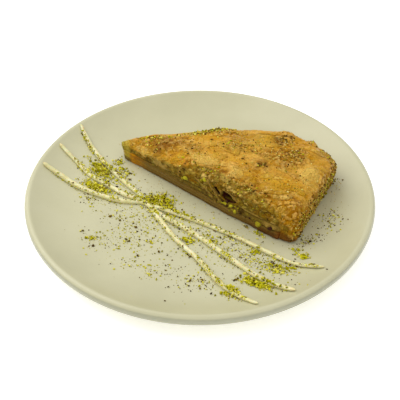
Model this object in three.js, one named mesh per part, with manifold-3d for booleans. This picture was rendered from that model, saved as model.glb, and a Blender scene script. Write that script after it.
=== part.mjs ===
// A wedge of pistachio baklava on a round stoneware coupe plate, with three strokes of
// cream drizzle and ground pistachio scattered over both.
//
// Millimetres, +Z up. The origin is the middle of the plate on the table; +Y points away from
// the diner, so the wedge's long cut side faces the front left.
//
// The wedge is three nodes that lie on each other: the syrup-soaked bottom sheets, the pistachio
// filling that shows along both cut sides, and the puffed top sheets, whose browned crust wraps
// down over the wide end. Drizzle and the larger crumbs are fused to what they lie on.
import * as THREE from 'three';
import { mergeVertices } from 'three/addons/utils/BufferGeometryUtils.js';
import Module from 'manifold-3d';

const { clamp, degToRad, lerp, smoothstep } = THREE.MathUtils;
const wasm = await Module();
wasm.setup();

// Plate: a flat well, a gentle rise to a rounded lip, and a foot ring below.
const plateRadius = 120;
const wellHeight = 7.5;
const wellRadius = 80;
const rimSlope = degToRad(30);
const lipRadius = 2.9;
const wallDrop = 1.4;
const undersideBend = [98, 6];
const footOuter = 77;
const footInner = 71;
const footRecess = 2.2;
const footFlare = 2;
const plateSegments = 52;

// Wedge: corners of its outline as [x, y, rounding], from the narrow tip round by the front.
const wedgeCorners = [
  [-59, 47.5, 3],
  [-53, 43.5, 3],
  [22, -19.5, 14],
  [63, -48.5, 7],
  [97.5, 17.5, 6],
  [85, 34.5, 6],
  [66, 42.5, 5],
  [8, 51.5, 18],
  [-51, 54, 4],
];
const wedgePoints = wedgeCorners.map(([x, y]) => new THREE.Vector2(x, y));
const [frontCorner, rightCorner, tornCorner] = wedgePoints.slice(3, 6);
const wedgeMiddle = new THREE.Vector2(24, 10);
const wedgeTip = new THREE.Vector2(-56, 48);
const wedgeEnd = new THREE.Vector2(81, -8);
const wedgeSteps = 72;

// Thickness of the whole wedge, which is full from a share of its length on.
const tipThickness = 16;
const endThickness = 29;
const fullFrom = 0.65;
const swelling = 1.25;

// How far the top sinks towards its outline, fading inwards, and how its edge is rounded.
const tipDroop = 3.5;
const frontDroop = 5.5;
const backDroop = 3;
const droopReach = 7.5;
const sideRounding = 1;
const endRounding = 5;
const endZone = 12;
const cornerRounding = 12;
const cornerZone = 24;

// Swells of the baked sheets: [height, ripples along x, ripples along y, start].
const swells = [
  [0.6, 0.17, 0.11, 1],
  [0.45, 0.09, -0.24, 5.1],
  [0.4, 0.27, 0.21, 0],
];

// Lines at the back right past which the uppermost sheets have torn away.
const tears = [
  { from: [67, 44], to: [88, 10], depth: 2.2 },
  { from: [81.5, 36], to: [90, 8], depth: 2.6 },
];
const tearWidth = 2;
const tearFade = [2, 20];

// Layers, from below: soaked sheets, nut filling, and the crust that wraps over the wide end.
const bottomAtTip = 8;
const bottomAtEnd = 5;
const fillingAtEnd = 5;
const fillingStart = 0.17;
const fillingRecess = 0.7;
const fillingSteps = 60;
const layerGap = 0.3;
const crustWrap = 4;
const wrapGap = 1.3;
const wrapZone = [9, 14];
const endUndercut = 2.2;
const tipOverhang = 2;
const tipShare = 0.08;

// The dark gaps in the long cut side, as ellipsoids: [x, y, height, length, depth, tallness].
const liftedGaps = [
  [19.5, -17, 16.6, 13, 14, 8.4],
  [11.5, -9.5, 16.5, 6.4, 8, 6.4],
];
const cutSideTurn = Math.atan2(-90, 114);

// Chopped pistachios that stand out of the filling along both cut sides: [x, y, radius].
const nuts = [
  [-12.5, 12, 1.4], [-4, 5.2, 1.2], [8, -5, 1.4], [15, -13.2, 1.5], [20.5, -18, 1.9],
  [26, -23, 1.6], [33, -28, 1.3], [42, -35, 2], [48, -39.4, 1.7],
  [50, 44, 1.6], [36, 46.5, 1.4], [21, 48.6, 1.7], [5, 50.4, 1.5], [-12, 51.2, 1.3],
];

// Drizzle: the strokes' centre lines on the plate, from the left rim to the right one.
const strokeRadius = 1.65;
const strokeSink = 0.35;
const strokeSides = 8;
const strokeTaper = 0.09;
const strokes = [
  {
    steps: 32,
    width: [1, 1.05],
    route: [
      [-89, 72.5], [-80, 55.5], [-67.5, 37], [-51.5, 15], [-38, -1.5], [-29, -19],
      [-14, -44], [-0.5, -61], [9, -76.5], [22, -92.5], [35, -106],
    ],
  },
  {
    steps: 32,
    width: [0.95, 1.15],
    route: [
      [-102, 50], [-90, 38.5], [-77.5, 24.5], [-65, 14], [-51, 3], [-39.5, -3.5],
      [-27, -17], [-8, -32.5], [9.5, -49], [25.5, -65.5], [41, -80], [58.5, -95],
    ],
  },
  {
    steps: 34,
    width: [1.25, 0.8],
    route: [
      [-111, 27], [-97.5, 20], [-84, 11], [-68.5, 2.5], [-54, -3], [-40, -4.5], [-25.5, -11.5],
      [-8.5, -20], [9, -30], [27.5, -41.5], [44.5, -54], [61, -65], [78.5, -73],
    ],
  },
];

// Ground pistachio: patches as [x, y, half width, half depth, turn in degrees, crumbs].
const crumbRadius = 0.95;
const plateCrumbs = [
  [-27, 3, 9, 5, 0, 16],
  [-67, 33, 9, 7, -45, 10],
  [-74, 15, 12, 4, -28, 12],
  [39, -80.5, 15, 4.5, -25, 12],
  [17, -87, 4, 8, 20, 8],
  [-8, -41, 4, 3, 0, 4],
  [44, -69, 13, 6, -30, 8],
  [67, -54, 6, 4, 0, 4],
  [-73, -38, 3, 2, 0, 2],
  [-30, -45, 26, 18, 0, 10],
];
const crustCrumbs = [
  [2, 44, 16, 4, -4, 10],
  [66, 15, 14, 9, -20, 12],
  [38, 20, 14, 8, 0, 7],
  [-36, 43, 10, 5, -10, 5],
  [60, -22, 10, 8, 0, 4],
];
const endCrumbs = { count: 12, lowest: 4, highest: 17, reach: [0.12, 0.92] };
const wedgeClearance = 2.2;
const crustMargin = 3;

// A repeatable random draw between low and high.
function seededRandom(seed) {
  let state = seed;
  return (low = 0, high = 1) => {
    state = (state * 1664525 + 1013904223) % 4294967296;
    return low + (high - low) * (state / 4294967296);
  };
}

// A closed skin of rings between two poles. place(step, ring) gives each point as a Vector3,
// and the first and the last ring are each one point.
function skin(around, rings, place) {
  const geometry = new THREE.SphereGeometry(1, around, rings - 1);
  const position = geometry.getAttribute('position');
  for (let ring = 0; ring < rings; ring += 1) {
    for (let step = 0; step <= around; step += 1) {
      const point = place(step % around, ring);
      position.setXYZ(ring * (around + 1) + step, point.x, point.y, point.z);
    }
  }
  return geometry;
}

// A closed geometry as a solid that can be cut and joined.
function solidOf(geometry) {
  const bare = geometry.clone();
  bare.deleteAttribute('normal');
  bare.deleteAttribute('uv');
  const merged = mergeVertices(bare, 1e-4);
  return new wasm.Manifold(new wasm.Mesh({
    numProp: 3,
    vertProperties: new Float32Array(merged.attributes.position.array),
    triVerts: new Uint32Array(merged.index.array),
  }));
}

// Solids joined into one body: its outer skin alone, without loose scraps or sealed hollows.
function fused(solids) {
  return wasm.Manifold.union(solids).decompose().reduce((largest, body) => (
    body.volume() > largest.volume() ? body : largest
  ));
}

function geometryOf(solid) {
  const mesh = solid.getMesh();
  const geometry = new THREE.BufferGeometry();
  geometry.setAttribute('position', new THREE.BufferAttribute(mesh.vertProperties, 3));
  geometry.setIndex(new THREE.BufferAttribute(mesh.triVerts, 1));
  geometry.computeVertexNormals();
  return geometry;
}

function named(name, solid, material) {
  const mesh = new THREE.Mesh(geometryOf(solid), material);
  mesh.name = name;
  return mesh;
}

// Height of the plate's upper face.
const lipInner = plateRadius - lipRadius - lipRadius * Math.sin(rimSlope);
const rimCurve = Math.tan(rimSlope) / (2 * (lipInner - wellRadius));
function plateTop(x, y) {
  const reach = Math.max(Math.hypot(x, y) - wellRadius, 0);
  return wellHeight + rimCurve * reach * reach;
}

// Half of the plate's section, from the middle of its underside out over the lip to the middle
// of its well.
function plateProfile() {
  const lipCentre = new THREE.Vector2(
    plateRadius - lipRadius,
    plateTop(lipInner, 0) - lipRadius * Math.cos(rimSlope),
  );
  const wallFoot = lipCentre.y - wallDrop;
  const underside = new THREE.SplineCurve([
    new THREE.Vector2(footOuter + footFlare, footFlare),
    new THREE.Vector2(...undersideBend),
    new THREE.Vector2(plateRadius - lipRadius, wallFoot - lipRadius),
    new THREE.Vector2(plateRadius, wallFoot),
  ]);
  const lip = new THREE.Path();
  lip.absarc(lipCentre.x, lipCentre.y, lipRadius, 0, Math.PI / 2 + rimSlope, false);
  const rise = Array.from({ length: 4 }, (_, i) => lerp(lipInner, wellRadius, (i + 1) / 5))
    .map((radius) => new THREE.Vector2(radius, plateTop(radius, 0)));
  return [
    new THREE.Vector2(0, footRecess),
    new THREE.Vector2(footInner - footFlare, footRecess),
    new THREE.Vector2(footInner, 0),
    new THREE.Vector2(footOuter, 0),
    ...underside.getPoints(5),
    ...lip.getPoints(6),
    ...rise,
    new THREE.Vector2(wellRadius, wellHeight),
    new THREE.Vector2(0, wellHeight),
  ];
}

// Outline through rounded corners, as evenly spaced points.
function roundedOutline(corners, count) {
  const path = new THREE.Path();
  corners.forEach(([x, y, radius], i) => {
    const here = new THREE.Vector2(x, y);
    const before = new THREE.Vector2(...corners.at(i - 1));
    const after = new THREE.Vector2(...corners[(i + 1) % corners.length]);
    const enter = here.clone().lerp(before, radius / here.distanceTo(before));
    const leave = here.clone().lerp(after, radius / here.distanceTo(after));
    if (i === 0) {
      path.moveTo(enter.x, enter.y);
    } else {
      path.lineTo(enter.x, enter.y);
    }
    path.quadraticCurveTo(x, y, leave.x, leave.y);
  });
  path.closePath();
  return path.getSpacedPoints(count).slice(0, count);
}

function segmentDistance(point, start, end) {
  const along = end.clone().sub(start);
  const share = clamp(point.clone().sub(start).dot(along) / along.lengthSq(), 0, 1);
  return point.distanceTo(start.clone().addScaledVector(along, share));
}

// Signed distance from a line, positive on the left of its direction.
function leftOf(point, start, end) {
  const along = end.clone().sub(start);
  return along.cross(point.clone().sub(start)) / along.length();
}

const wedgeOutline = roundedOutline(wedgeCorners, wedgeSteps);

function edgeDistance(point) {
  return Math.min(...wedgeOutline.map((start, i) => (
    segmentDistance(point, start, wedgeOutline[(i + 1) % wedgeSteps])
  )));
}

// Distance to the wide end, where the browned crust wraps down to the plate.
function endDistance(point) {
  return Math.min(
    segmentDistance(point, frontCorner, rightCorner),
    segmentDistance(point, rightCorner, tornCorner),
  );
}

function insideWedge(point) {
  const crossings = wedgeOutline.filter((start, i) => {
    const end = wedgeOutline[(i + 1) % wedgeSteps];
    const share = (point.y - start.y) / (end.y - start.y);
    return (start.y > point.y) !== (end.y > point.y) && point.x < lerp(start.x, end.x, share);
  });
  return crossings.length % 2 === 1;
}

// Share of the wedge's length, 0 at the narrow tip and 1 at the wide end.
function lengthShare(point) {
  const along = wedgeEnd.clone().sub(wedgeTip);
  return clamp(point.clone().sub(wedgeTip).dot(along) / along.lengthSq(), 0, 1);
}

function thicknessAt(point) {
  const filled = Math.sin(Math.min(lengthShare(point) / fullFrom, 1) * Math.PI / 2);
  return lerp(tipThickness, endThickness, filled ** swelling);
}

function tornAway(point) {
  const torn = tears.reduce((depth, tear) => {
    const past = leftOf(point, new THREE.Vector2(...tear.from), new THREE.Vector2(...tear.to));
    return depth + tear.depth * smoothstep(past, 0, tearWidth);
  }, 0);
  return torn * smoothstep(point.y, ...tearFade);
}

// How far the top sheets sink towards the outline: most along the front cut, with the edge
// rounded off beside the wide end and rolling down to the plate at its front corner.
function edgeDroop(point) {
  const inside = edgeDistance(point);
  const atBack = smoothstep(leftOf(point, wedgeTip, wedgeEnd), -6, 6);
  const alongFront = lerp(tipDroop, frontDroop, Math.min(2.5 * lengthShare(point), 1));
  const droop = lerp(alongFront, backDroop, atBack) * Math.exp(-inside / droopReach);
  const beside = lerp(endRounding, sideRounding, smoothstep(endDistance(point), 2, endZone));
  const fromCorner = smoothstep(point.distanceTo(frontCorner), 6, cornerZone);
  const rounding = lerp(cornerRounding, beside, fromCorner);
  const shoulder = 1 - clamp(inside / rounding, 0, 1);
  return droop + rounding * (1 - Math.sqrt(1 - shoulder * shoulder));
}

function crustTop(point) {
  const swell = swells.reduce((height, [size, alongX, alongY, start]) => (
    height + size * Math.sin(point.x * alongX + point.y * alongY + start)
  ), 0);
  return wellHeight + thicknessAt(point) - edgeDroop(point) - tornAway(point) + swell;
}

function restingFace(point) {
  return plateTop(point.x, point.y) + layerGap;
}

function bottomSheetsTop(point) {
  return wellHeight + layerGap + lerp(bottomAtTip, bottomAtEnd, lengthShare(point));
}

function fillingBottom(point) {
  return bottomSheetsTop(point) + layerGap;
}

function fillingTop(point) {
  const rest = 1 - lengthShare(point);
  return fillingBottom(point) + fillingAtEnd * (1 - rest * rest);
}

// 1 along the cut sides, falling to 0 at the wide end, which the crust covers.
function cutShare(edge) {
  return smoothstep(endDistance(edge), ...wrapZone);
}

// A slab over an outline, in rings from the middle of its top, down its side, to the middle
// below. Each ring is [reach, level, out]: its share of the way to the outline, its height
// between the bottom, 0, and the top, 1, and how far the sheets stand out there, in mm. The
// undercut draws the foot of the wide end in.
function slab(outline, top, bottom, rings, undercut = 0) {
  return solidOf(skin(outline.length, rings.length, (step, ring) => {
    const [reach, level, out] = rings[ring];
    const edge = outline[step];
    const at = wedgeMiddle.clone().lerp(edge, reach);
    const height = lerp(bottom(at), top(at), level);
    const ruffle = out * (0.75 + 0.5 * Math.sin(step * 2.4 + ring * 1.7)) * cutShare(edge);
    const drawnIn = undercut * (1 - level) * reach * (1 - cutShare(edge));
    at.add(edge.clone().sub(wedgeMiddle).setLength(1).multiplyScalar(ruffle - drawnIn));
    return new THREE.Vector3(at.x, at.y, height);
  }));
}

// The wedge's outline moved outward along the cut sides, less at the overhung tip, and drawn
// in by the crust's thickness at the wide end.
function innerOutline(outward, wrap) {
  return wedgeOutline.map((edge) => {
    const overhang = tipOverhang * (1 - smoothstep(lengthShare(edge), 0, tipShare));
    const shift = lerp(-wrap, outward - overhang, cutShare(edge));
    return edge.clone().add(edge.clone().sub(wedgeMiddle).setLength(1).multiplyScalar(shift));
  });
}

// One crumb, tumbled, with its middle in the face that it lies on.
function crumb(at, random) {
  const geometry = new THREE.OctahedronGeometry(crumbRadius * random(0.9, 1.5), 0);
  geometry.rotateX(random(0, Math.PI));
  geometry.rotateZ(random(0, Math.PI));
  geometry.translate(at.x, at.y, at.z);
  return solidOf(geometry);
}

// Crumbs strewn in patches, half sunk where they land on a solid.
function crumbs(patches, solid, seed, allowed) {
  const random = seededRandom(seed);
  const ground = new THREE.Mesh(geometryOf(solid));
  const down = new THREE.Vector3(0, 0, -1);
  return patches.flatMap(([x, y, halfWidth, halfDepth, turn, count]) => {
    const places = Array.from({ length: count }, () => {
      const swing = random(0, 2 * Math.PI);
      const reach = Math.sqrt(random());
      const place = new THREE.Vector2(halfWidth * Math.cos(swing), halfDepth * Math.sin(swing));
      place.multiplyScalar(reach).rotateAround(new THREE.Vector2(), degToRad(turn));
      return place.add(new THREE.Vector2(x, y));
    });
    return places.filter(allowed).map((place) => {
      const fall = new THREE.Raycaster(new THREE.Vector3(place.x, place.y, 2 * plateRadius), down);
      return crumb(fall.intersectObject(ground)[0].point, random);
    });
  });
}

// One stroke of drizzle: a bead along its route that thins out at both ends.
function stroke({ route, steps, width }) {
  const line = new THREE.CatmullRomCurve3(route.map(([x, y]) => new THREE.Vector3(x, y, 0)));
  return solidOf(skin(strokeSides, steps + 1, (side, ring) => {
    const share = ring / steps;
    const at = line.getPointAt(share);
    const along = line.getTangentAt(share);
    const taper = Math.sqrt(Math.min(share / strokeTaper, (1 - share) / strokeTaper, 1));
    const bead = strokeRadius * lerp(...width, share) * taper * (1 + 0.1 * Math.sin(ring * 1.9));
    const turn = (side / strokeSides) * 2 * Math.PI;
    const across = bead * Math.cos(turn);
    return new THREE.Vector3(
      at.x + along.y * across,
      at.y - along.x * across,
      plateTop(at.x, at.y) + strokeSink + bead * Math.sin(turn),
    );
  }));
}

function plate() {
  const turned = new THREE.LatheGeometry(plateProfile(), plateSegments);
  turned.rotateX(Math.PI / 2);
  const drizzled = wasm.Manifold.union([solidOf(turned), ...strokes.map(stroke)]);
  const clearOfWedge = (place) => !insideWedge(place) && edgeDistance(place) > wedgeClearance;
  return fused([drizzled, ...crumbs(plateCrumbs, drizzled, 12, clearOfWedge)]);
}

function bottomSheets() {
  return slab(innerOutline(0, crustWrap + wrapGap), bottomSheetsTop, restingFace, [
    [0, 1, 0], [0.5, 1, 0], [0.8, 1, 0], [1, 1, 0], [1, 0.85, 0.6], [1, 0.65, -0.3],
    [1, 0.45, 0.5], [1, 0.25, -0.4], [1, 0.08, 0.3], [0.97, 0, 0], [0.85, 0, 0], [0.7, 0, 0],
    [0, 0, 0],
  ]);
}

// The filling's own outline: it starts past the tip and lies a little inside the cut sides.
function fillingOutline() {
  const inner = innerOutline(-fillingRecess, crustWrap + wrapGap + fillingRecess);
  const filled = inner.filter((edge) => lengthShare(edge) > fillingStart);
  return roundedOutline(filled.map((edge) => [edge.x, edge.y, 0.5]), fillingSteps);
}

function nearestPoint(points, target) {
  return points.reduce((best, point) => (
    point.distanceTo(target) < best.distanceTo(target) ? point : best
  ));
}

function filling() {
  const outline = fillingOutline();
  const random = seededRandom(47);
  const body = slab(outline, fillingTop, fillingBottom, [
    [0, 1, 0], [0.5, 1, 0], [0.8, 1, 0], [1, 1, 0], [1, 0.5, 0.4],
    [1, 0, 0], [0.8, 0, 0], [0.5, 0, 0], [0, 0, 0],
  ]);
  const pieces = nuts.map(([x, y, radius]) => {
    const spot = nearestPoint(outline, new THREE.Vector2(x, y));
    const geometry = new THREE.IcosahedronGeometry(radius, 0);
    geometry.scale(random(1, 1.3), random(0.9, 1.1), 0.95);
    geometry.rotateZ(random(0, Math.PI));
    geometry.translate(spot.x, spot.y, (fillingBottom(spot) + fillingTop(spot)) / 2);
    return solidOf(geometry);
  });
  return fused([body, ...pieces]);
}

// The gaps where the top sheets have lifted off the filling.
function liftedSheets() {
  return liftedGaps.map(([x, y, height, length, depth, tallness]) => {
    const geometry = new THREE.SphereGeometry(0.5, 12, 8);
    geometry.rotateX(Math.PI / 2);
    geometry.scale(length, depth, tallness);
    geometry.rotateZ(cutSideTurn);
    geometry.translate(x, y, wellHeight + height);
    return solidOf(geometry);
  });
}

// Crumbs that stick to the wrapped end.
function endFaceCrumbs() {
  const random = seededRandom(31);
  return Array.from({ length: endCrumbs.count }, (_, i) => {
    const share = lerp(...endCrumbs.reach, (i + random(0.2, 0.8)) / endCrumbs.count);
    const height = random(endCrumbs.lowest, endCrumbs.highest);
    const drawnIn = endUndercut * (1 - height / endThickness);
    const at = frontCorner.clone().lerp(rightCorner, share);
    at.add(wedgeMiddle.clone().sub(at).setLength(drawnIn));
    return crumb({ x: at.x, y: at.y, z: wellHeight + height }, random);
  });
}

function topSheets() {
  const whole = slab(wedgeOutline, crustTop, restingFace, [
    [0, 1, 0], [0.2, 1, 0], [0.38, 1, 0], [0.55, 1, 0], [0.7, 1, 0], [0.82, 1, 0], [0.91, 1, 0],
    [0.97, 1, 0], [1, 0.97, 0.3], [1, 0.88, -0.5], [1, 0.8, 0.7], [1, 0.71, -0.5],
    [1, 0.62, 0.6], [1, 0.53, -0.4], [1, 0.3, 0], [1, 0.08, 0], [0.97, 0, 0], [0, 0, 0],
  ], endUndercut);
  const below = slab(innerOutline(6, crustWrap), (point) => fillingTop(point) + layerGap, () => 0, [
    [0, 1, 0], [0.5, 1, 0], [0.8, 1, 0], [1, 1, 0], [1, 0, 0], [0, 0, 0],
  ]);
  const shell = whole.subtract(wasm.Manifold.union([below, ...liftedSheets()]));
  const strewn = crumbs(crustCrumbs, whole, 23, (place) => edgeDistance(place) > crustMargin);
  return fused([shell, ...strewn, ...endFaceCrumbs()]);
}

const glaze = new THREE.MeshStandardMaterial({ color: 0xd3cfab, roughness: 0.35, metalness: 0 });
const soaked = new THREE.MeshStandardMaterial({ color: 0x8a5a1e, roughness: 0.25, metalness: 0 });
const pistachio = new THREE.MeshStandardMaterial({ color: 0x7c7a2a, roughness: 0.7, metalness: 0 });
const crust = new THREE.MeshStandardMaterial({ color: 0xc4924a, roughness: 0.4, metalness: 0 });

const dish = new THREE.Group();
const wedge = new THREE.Group();
wedge.add(
  named('bottom_sheets', bottomSheets(), soaked),
  named('pistachio_filling', filling(), pistachio),
  named('top_sheets', topSheets(), crust),
);
dish.add(named('plate', plate(), glaze), wedge);

export default dish;
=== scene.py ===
import math
import random
from types import SimpleNamespace

import bmesh
import bpy
import numpy as np
from mathutils import Matrix, Vector
from mathutils.bvhtree import BVHTree


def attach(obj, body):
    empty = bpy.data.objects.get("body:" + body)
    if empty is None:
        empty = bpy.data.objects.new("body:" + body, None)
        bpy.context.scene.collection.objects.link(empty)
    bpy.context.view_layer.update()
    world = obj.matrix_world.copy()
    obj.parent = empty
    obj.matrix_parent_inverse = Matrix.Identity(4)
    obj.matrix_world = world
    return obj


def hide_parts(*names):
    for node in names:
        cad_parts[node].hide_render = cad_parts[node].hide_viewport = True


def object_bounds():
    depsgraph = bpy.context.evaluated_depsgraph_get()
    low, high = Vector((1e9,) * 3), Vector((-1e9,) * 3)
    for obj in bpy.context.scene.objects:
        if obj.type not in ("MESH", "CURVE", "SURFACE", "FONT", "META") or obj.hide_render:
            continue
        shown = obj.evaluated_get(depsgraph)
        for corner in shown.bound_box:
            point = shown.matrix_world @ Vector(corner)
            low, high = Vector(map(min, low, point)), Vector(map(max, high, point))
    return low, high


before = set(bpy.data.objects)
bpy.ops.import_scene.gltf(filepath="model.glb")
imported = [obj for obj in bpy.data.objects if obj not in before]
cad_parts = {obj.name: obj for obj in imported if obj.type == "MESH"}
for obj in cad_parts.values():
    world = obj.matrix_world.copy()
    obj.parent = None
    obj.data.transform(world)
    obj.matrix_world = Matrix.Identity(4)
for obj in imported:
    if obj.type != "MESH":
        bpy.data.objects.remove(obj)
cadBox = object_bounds()
scene = bpy.context.scene
mm = 0.001  # every length below is in millimetres until a mesh is finished
down = Vector((0, 0, -1))

light = {"lamps": [  # where from, how large, how strong
             ("key", (-0.75, 0.4, 1.0), 1.4, 11), ("fill", (-0.35, -0.9, 0.75), 1.6, 1)],
         "away": 1.5, "tint": (1, 0.985, 0.95), "room": 1.0, "horizon": 0.3, "floor": (0.96, 0.96, 0.96),
         "floorGlow": 0.4, "floorSize": 3000, "floorDrop": 0.2, "level": 1.14}


def colour(red, green, blue):  # as it looks on screen in full light, 0 to 255
    parts = [c / 255 for c in (red, green, blue)]
    return [(c / 12.92 if c < 0.04045 else ((c + 0.055) / 1.055) ** 2.4) / light["level"] for c in parts]


def palette(**shades):
    return {name: colour(*rgb) for name, rgb in shades.items()}


def smoothStep(low, high, value):
    t = np.clip((value - low) / (high - low), 0, 1)
    return t * t * (3 - 2 * t)


def hashed(x, y, z, seed):
    h = (x * 374761393 + y * 668265263 + z * 1274126177 + seed * 974711) & 0xFFFFFFFF
    h = ((h ^ (h >> 13)) * 1103515245) & 0xFFFFFFFF
    return ((h ^ (h >> 16)) & 0xFFFF) / 65535


def softNoise(points, size, seed):  # smooth noise from -1 to 1, its bumps about size across
    cells = points / np.asarray(size, float) + 100
    corner = np.floor(cells).astype(np.int64)
    part = cells - corner
    part = part * part * (3 - 2 * part)
    total = np.zeros(len(points))
    for step in range(8):
        offset = (step & 1, step >> 1 & 1, step >> 2)
        weight = np.ones(len(points))
        for axis in range(3):
            weight *= part[:, axis] if offset[axis] else 1 - part[:, axis]
        total += weight * hashed(*(corner[:, axis] + offset[axis] for axis in range(3)), seed)
    return total * 2 - 1


def roughNoise(points, size, seed, octaves=3):
    size = np.asarray(size, float)
    layers = [softNoise(points, size / 2 ** i, seed + i * 17) / 2 ** i for i in range(octaves)]
    return sum(layers) / (2 - 2 ** (1 - octaves))


def mottle(points, size, seed, low, high, octaves=3):  # a mask that comes and goes with rough noise
    return smoothStep(low, high, roughNoise(points, size, seed, octaves))


def platelets(points, size, seed):  # broken flakes: each one's number, how near its edge is, how it leans
    cells = points / np.asarray(size, float) + 100
    corner = np.floor(cells).astype(np.int64)
    nearest, second = np.full((2, len(points)), 9.0)
    number, lean = np.zeros((2, len(points)))
    for step in range(27):
        x, y, z = (corner[:, axis] + step // 3 ** axis % 3 - 1 for axis in range(3))
        away = [cells[:, axis] - (x, y, z)[axis] - hashed(x, y, z, seed + axis) for axis in range(3)]
        far = np.sqrt(away[0] ** 2 + away[1] ** 2 + away[2] ** 2)
        closer = far < nearest
        second = np.where(closer, nearest, np.minimum(second, far))
        nearest = np.where(closer, far, nearest)
        number = np.where(closer, hashed(x, y, z, seed + 3), number)
        slope = away[0] * (hashed(x, y, z, seed + 4) - 0.5) + away[1] * (hashed(x, y, z, seed + 5) - 0.5)
        lean = np.where(closer, slope, lean)
    return number, second - nearest, lean


# meshes
def addPiece(name, mesh, material, slotName, *replaced, smooth=True):
    mesh.materials.clear()
    mesh.materials.append(material)
    mesh.shade_smooth() if smooth else mesh.shade_flat()
    piece = bpy.data.objects.new(name, mesh)
    scene.collection.objects.link(piece)
    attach(piece, "root")
    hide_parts(*replaced)
    print(f"{name}: {sum(len(p.vertices) - 2 for p in mesh.polygons)} triangles")
    return piece


def meshFromBmesh(name, bm, scale=mm):
    bmesh.ops.scale(bm, vec=(scale,) * 3, verts=bm.verts)
    mesh = bpy.data.meshes.new(name)
    bm.to_mesh(mesh)
    bm.free()
    return mesh


def finishedMesh(data, *modifiers):  # what a curve, or a mesh with modifiers, comes to
    helper = bpy.data.objects.new("helper", data)
    scene.collection.objects.link(helper)
    for kind, values in modifiers:
        modifier = helper.modifiers.new(kind.lower(), kind)
        for key, value in values.items():
            setattr(modifier, key, value)
    result = bpy.data.meshes.new_from_object(helper.evaluated_get(bpy.context.evaluated_depsgraph_get()))
    bpy.data.objects.remove(helper)
    return result


def remeshed(name, mesh, voxel, smoothing):  # an even grid of small faces over a closed mesh in metres
    result = finishedMesh(mesh, ("REMESH", {"mode": "VOXEL", "voxel_size": voxel * mm}),
                          ("SMOOTH", {"factor": 0.5, "iterations": smoothing}))
    result.name = name
    return result


def copyOfNode(nodeName, settings):  # its mesh, and each point's place and direction outwards
    bm = bmesh.new()
    bm.from_mesh(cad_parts[nodeName].data)
    bmesh.ops.remove_doubles(bm, verts=bm.verts, dist=1e-6)
    merged = meshFromBmesh(nodeName + "Merged", bm, 1)
    mesh = remeshed(nodeName + "Grid", merged, settings["voxel"], settings["smoothing"])
    return mesh, readPoints(mesh), readNormals(mesh)


def readPoints(mesh, unit=mm):
    values = np.empty(len(mesh.vertices) * 3)
    mesh.vertices.foreach_get("co", values)
    return values.reshape(-1, 3) / unit


def readNormals(mesh):
    values = np.empty(len(mesh.vertices) * 3)
    mesh.vertex_normals.foreach_get("vector", values)
    return values.reshape(-1, 3)


def writePoints(mesh, points):
    mesh.vertices.foreach_set("co", (points * mm).ravel())
    mesh.update()


def writeColours(mesh, colours):
    layer = mesh.attributes.new("bakedColour", "FLOAT_COLOR", "POINT")
    full = np.ones((len(colours), 4))
    full[:, :3] = np.clip(colours, 0, 1)
    layer.data.foreach_set("color", full.ravel())


def blend(colours, mask, rgb):
    return colours + (np.asarray(rgb) - colours) * np.clip(mask, 0, 1)[:, None]


def coated(tones, shades, *coats):  # each coat is a mask and the name of its colour
    for mask, name in coats:
        tones = blend(tones, mask, shades[name])
    return tones


def plain(points, rgb):
    return np.tile(rgb, (len(points), 1))


def distance(points, x, y):  # seen from above
    return np.hypot(points[:, 0] - x, points[:, 1] - y)


def spin(bm, verts, steps, merge):  # turns a row of points round the upright axis
    edges = [bm.edges.new(pair) for pair in zip(verts, verts[1:])]
    bmesh.ops.spin(bm, geom=verts + edges, cent=(0, 0, 0), axis=(0, 0, 1), angle=2 * math.pi, steps=steps,
                   use_merge=True)
    bmesh.ops.remove_doubles(bm, verts=bm.verts, dist=merge)


# materials
socketNames = {"coat": "Coat Weight", "coatRoughness": "Coat Roughness", "subsurface": "Subsurface Weight",
               "scatterScale": "Subsurface Scale", "roughness": "Roughness", "specular": "Specular IOR Level",
               "tint": "Specular Tint", "colour": "Base Color", "glow": "Emission Color",
               "glowStrength": "Emission Strength"}


def newMaterial(name, **values):
    material = bpy.data.materials.new(name)
    material.use_nodes = True
    shader = material.node_tree.nodes["Principled BSDF"]
    for key, value in values.items():
        shader.inputs[socketNames[key]].default_value = value
    return material, material.node_tree, shader


def addNode(tree, kind, **values):
    node = tree.nodes.new("ShaderNode" + kind)
    for key, value in values.items():
        if hasattr(node, key):
            setattr(node, key, value)
        else:
            node.inputs[key].default_value = value
    return node


def attribute(tree, name):
    return addNode(tree, "Attribute", attribute_name=name)


def noiseNode(tree, scale, detail=3, roughness=0.5):
    node = addNode(tree, "TexNoise", Scale=scale, Detail=detail, Roughness=roughness)
    tree.links.new(tree.nodes.new("ShaderNodeTexCoord").outputs["Object"], node.inputs["Vector"])
    return node


def ramp(tree, factor, stops):
    node = tree.nodes.new("ShaderNodeValToRGB")
    elements = node.color_ramp.elements
    while len(elements) < len(stops):
        elements.new(0.5)
    for element, (place, shade) in zip(elements, stops):
        element.position = place
        element.color = (shade, shade, shade, 1) if isinstance(shade, (int, float)) else (*shade, 1)
    tree.links.new(factor, node.inputs["Fac"])
    return node


def noiseRamp(tree, noise, stops):
    return ramp(tree, noiseNode(tree, *noise).outputs["Fac"], stops)


def multiplied(tree, first, second, socket):
    mix = addNode(tree, "Mix", data_type="RGBA", blend_type="MULTIPLY", Factor=1)
    tree.links.new(first.outputs["Color"], mix.inputs[6])
    tree.links.new(second.outputs["Color"], mix.inputs[7])
    tree.links.new(mix.outputs[2], socket)


def addBump(tree, shader, heights, strength, depth):
    normal = None
    for height in heights:
        bump = addNode(tree, "Bump", Strength=strength, Distance=depth * mm)
        tree.links.new(height.outputs["Fac"], bump.inputs["Height"])
        if normal:
            tree.links.new(normal, bump.inputs["Normal"])
        normal = bump.outputs["Normal"]
    tree.links.new(normal, shader.inputs["Normal"])


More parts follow.
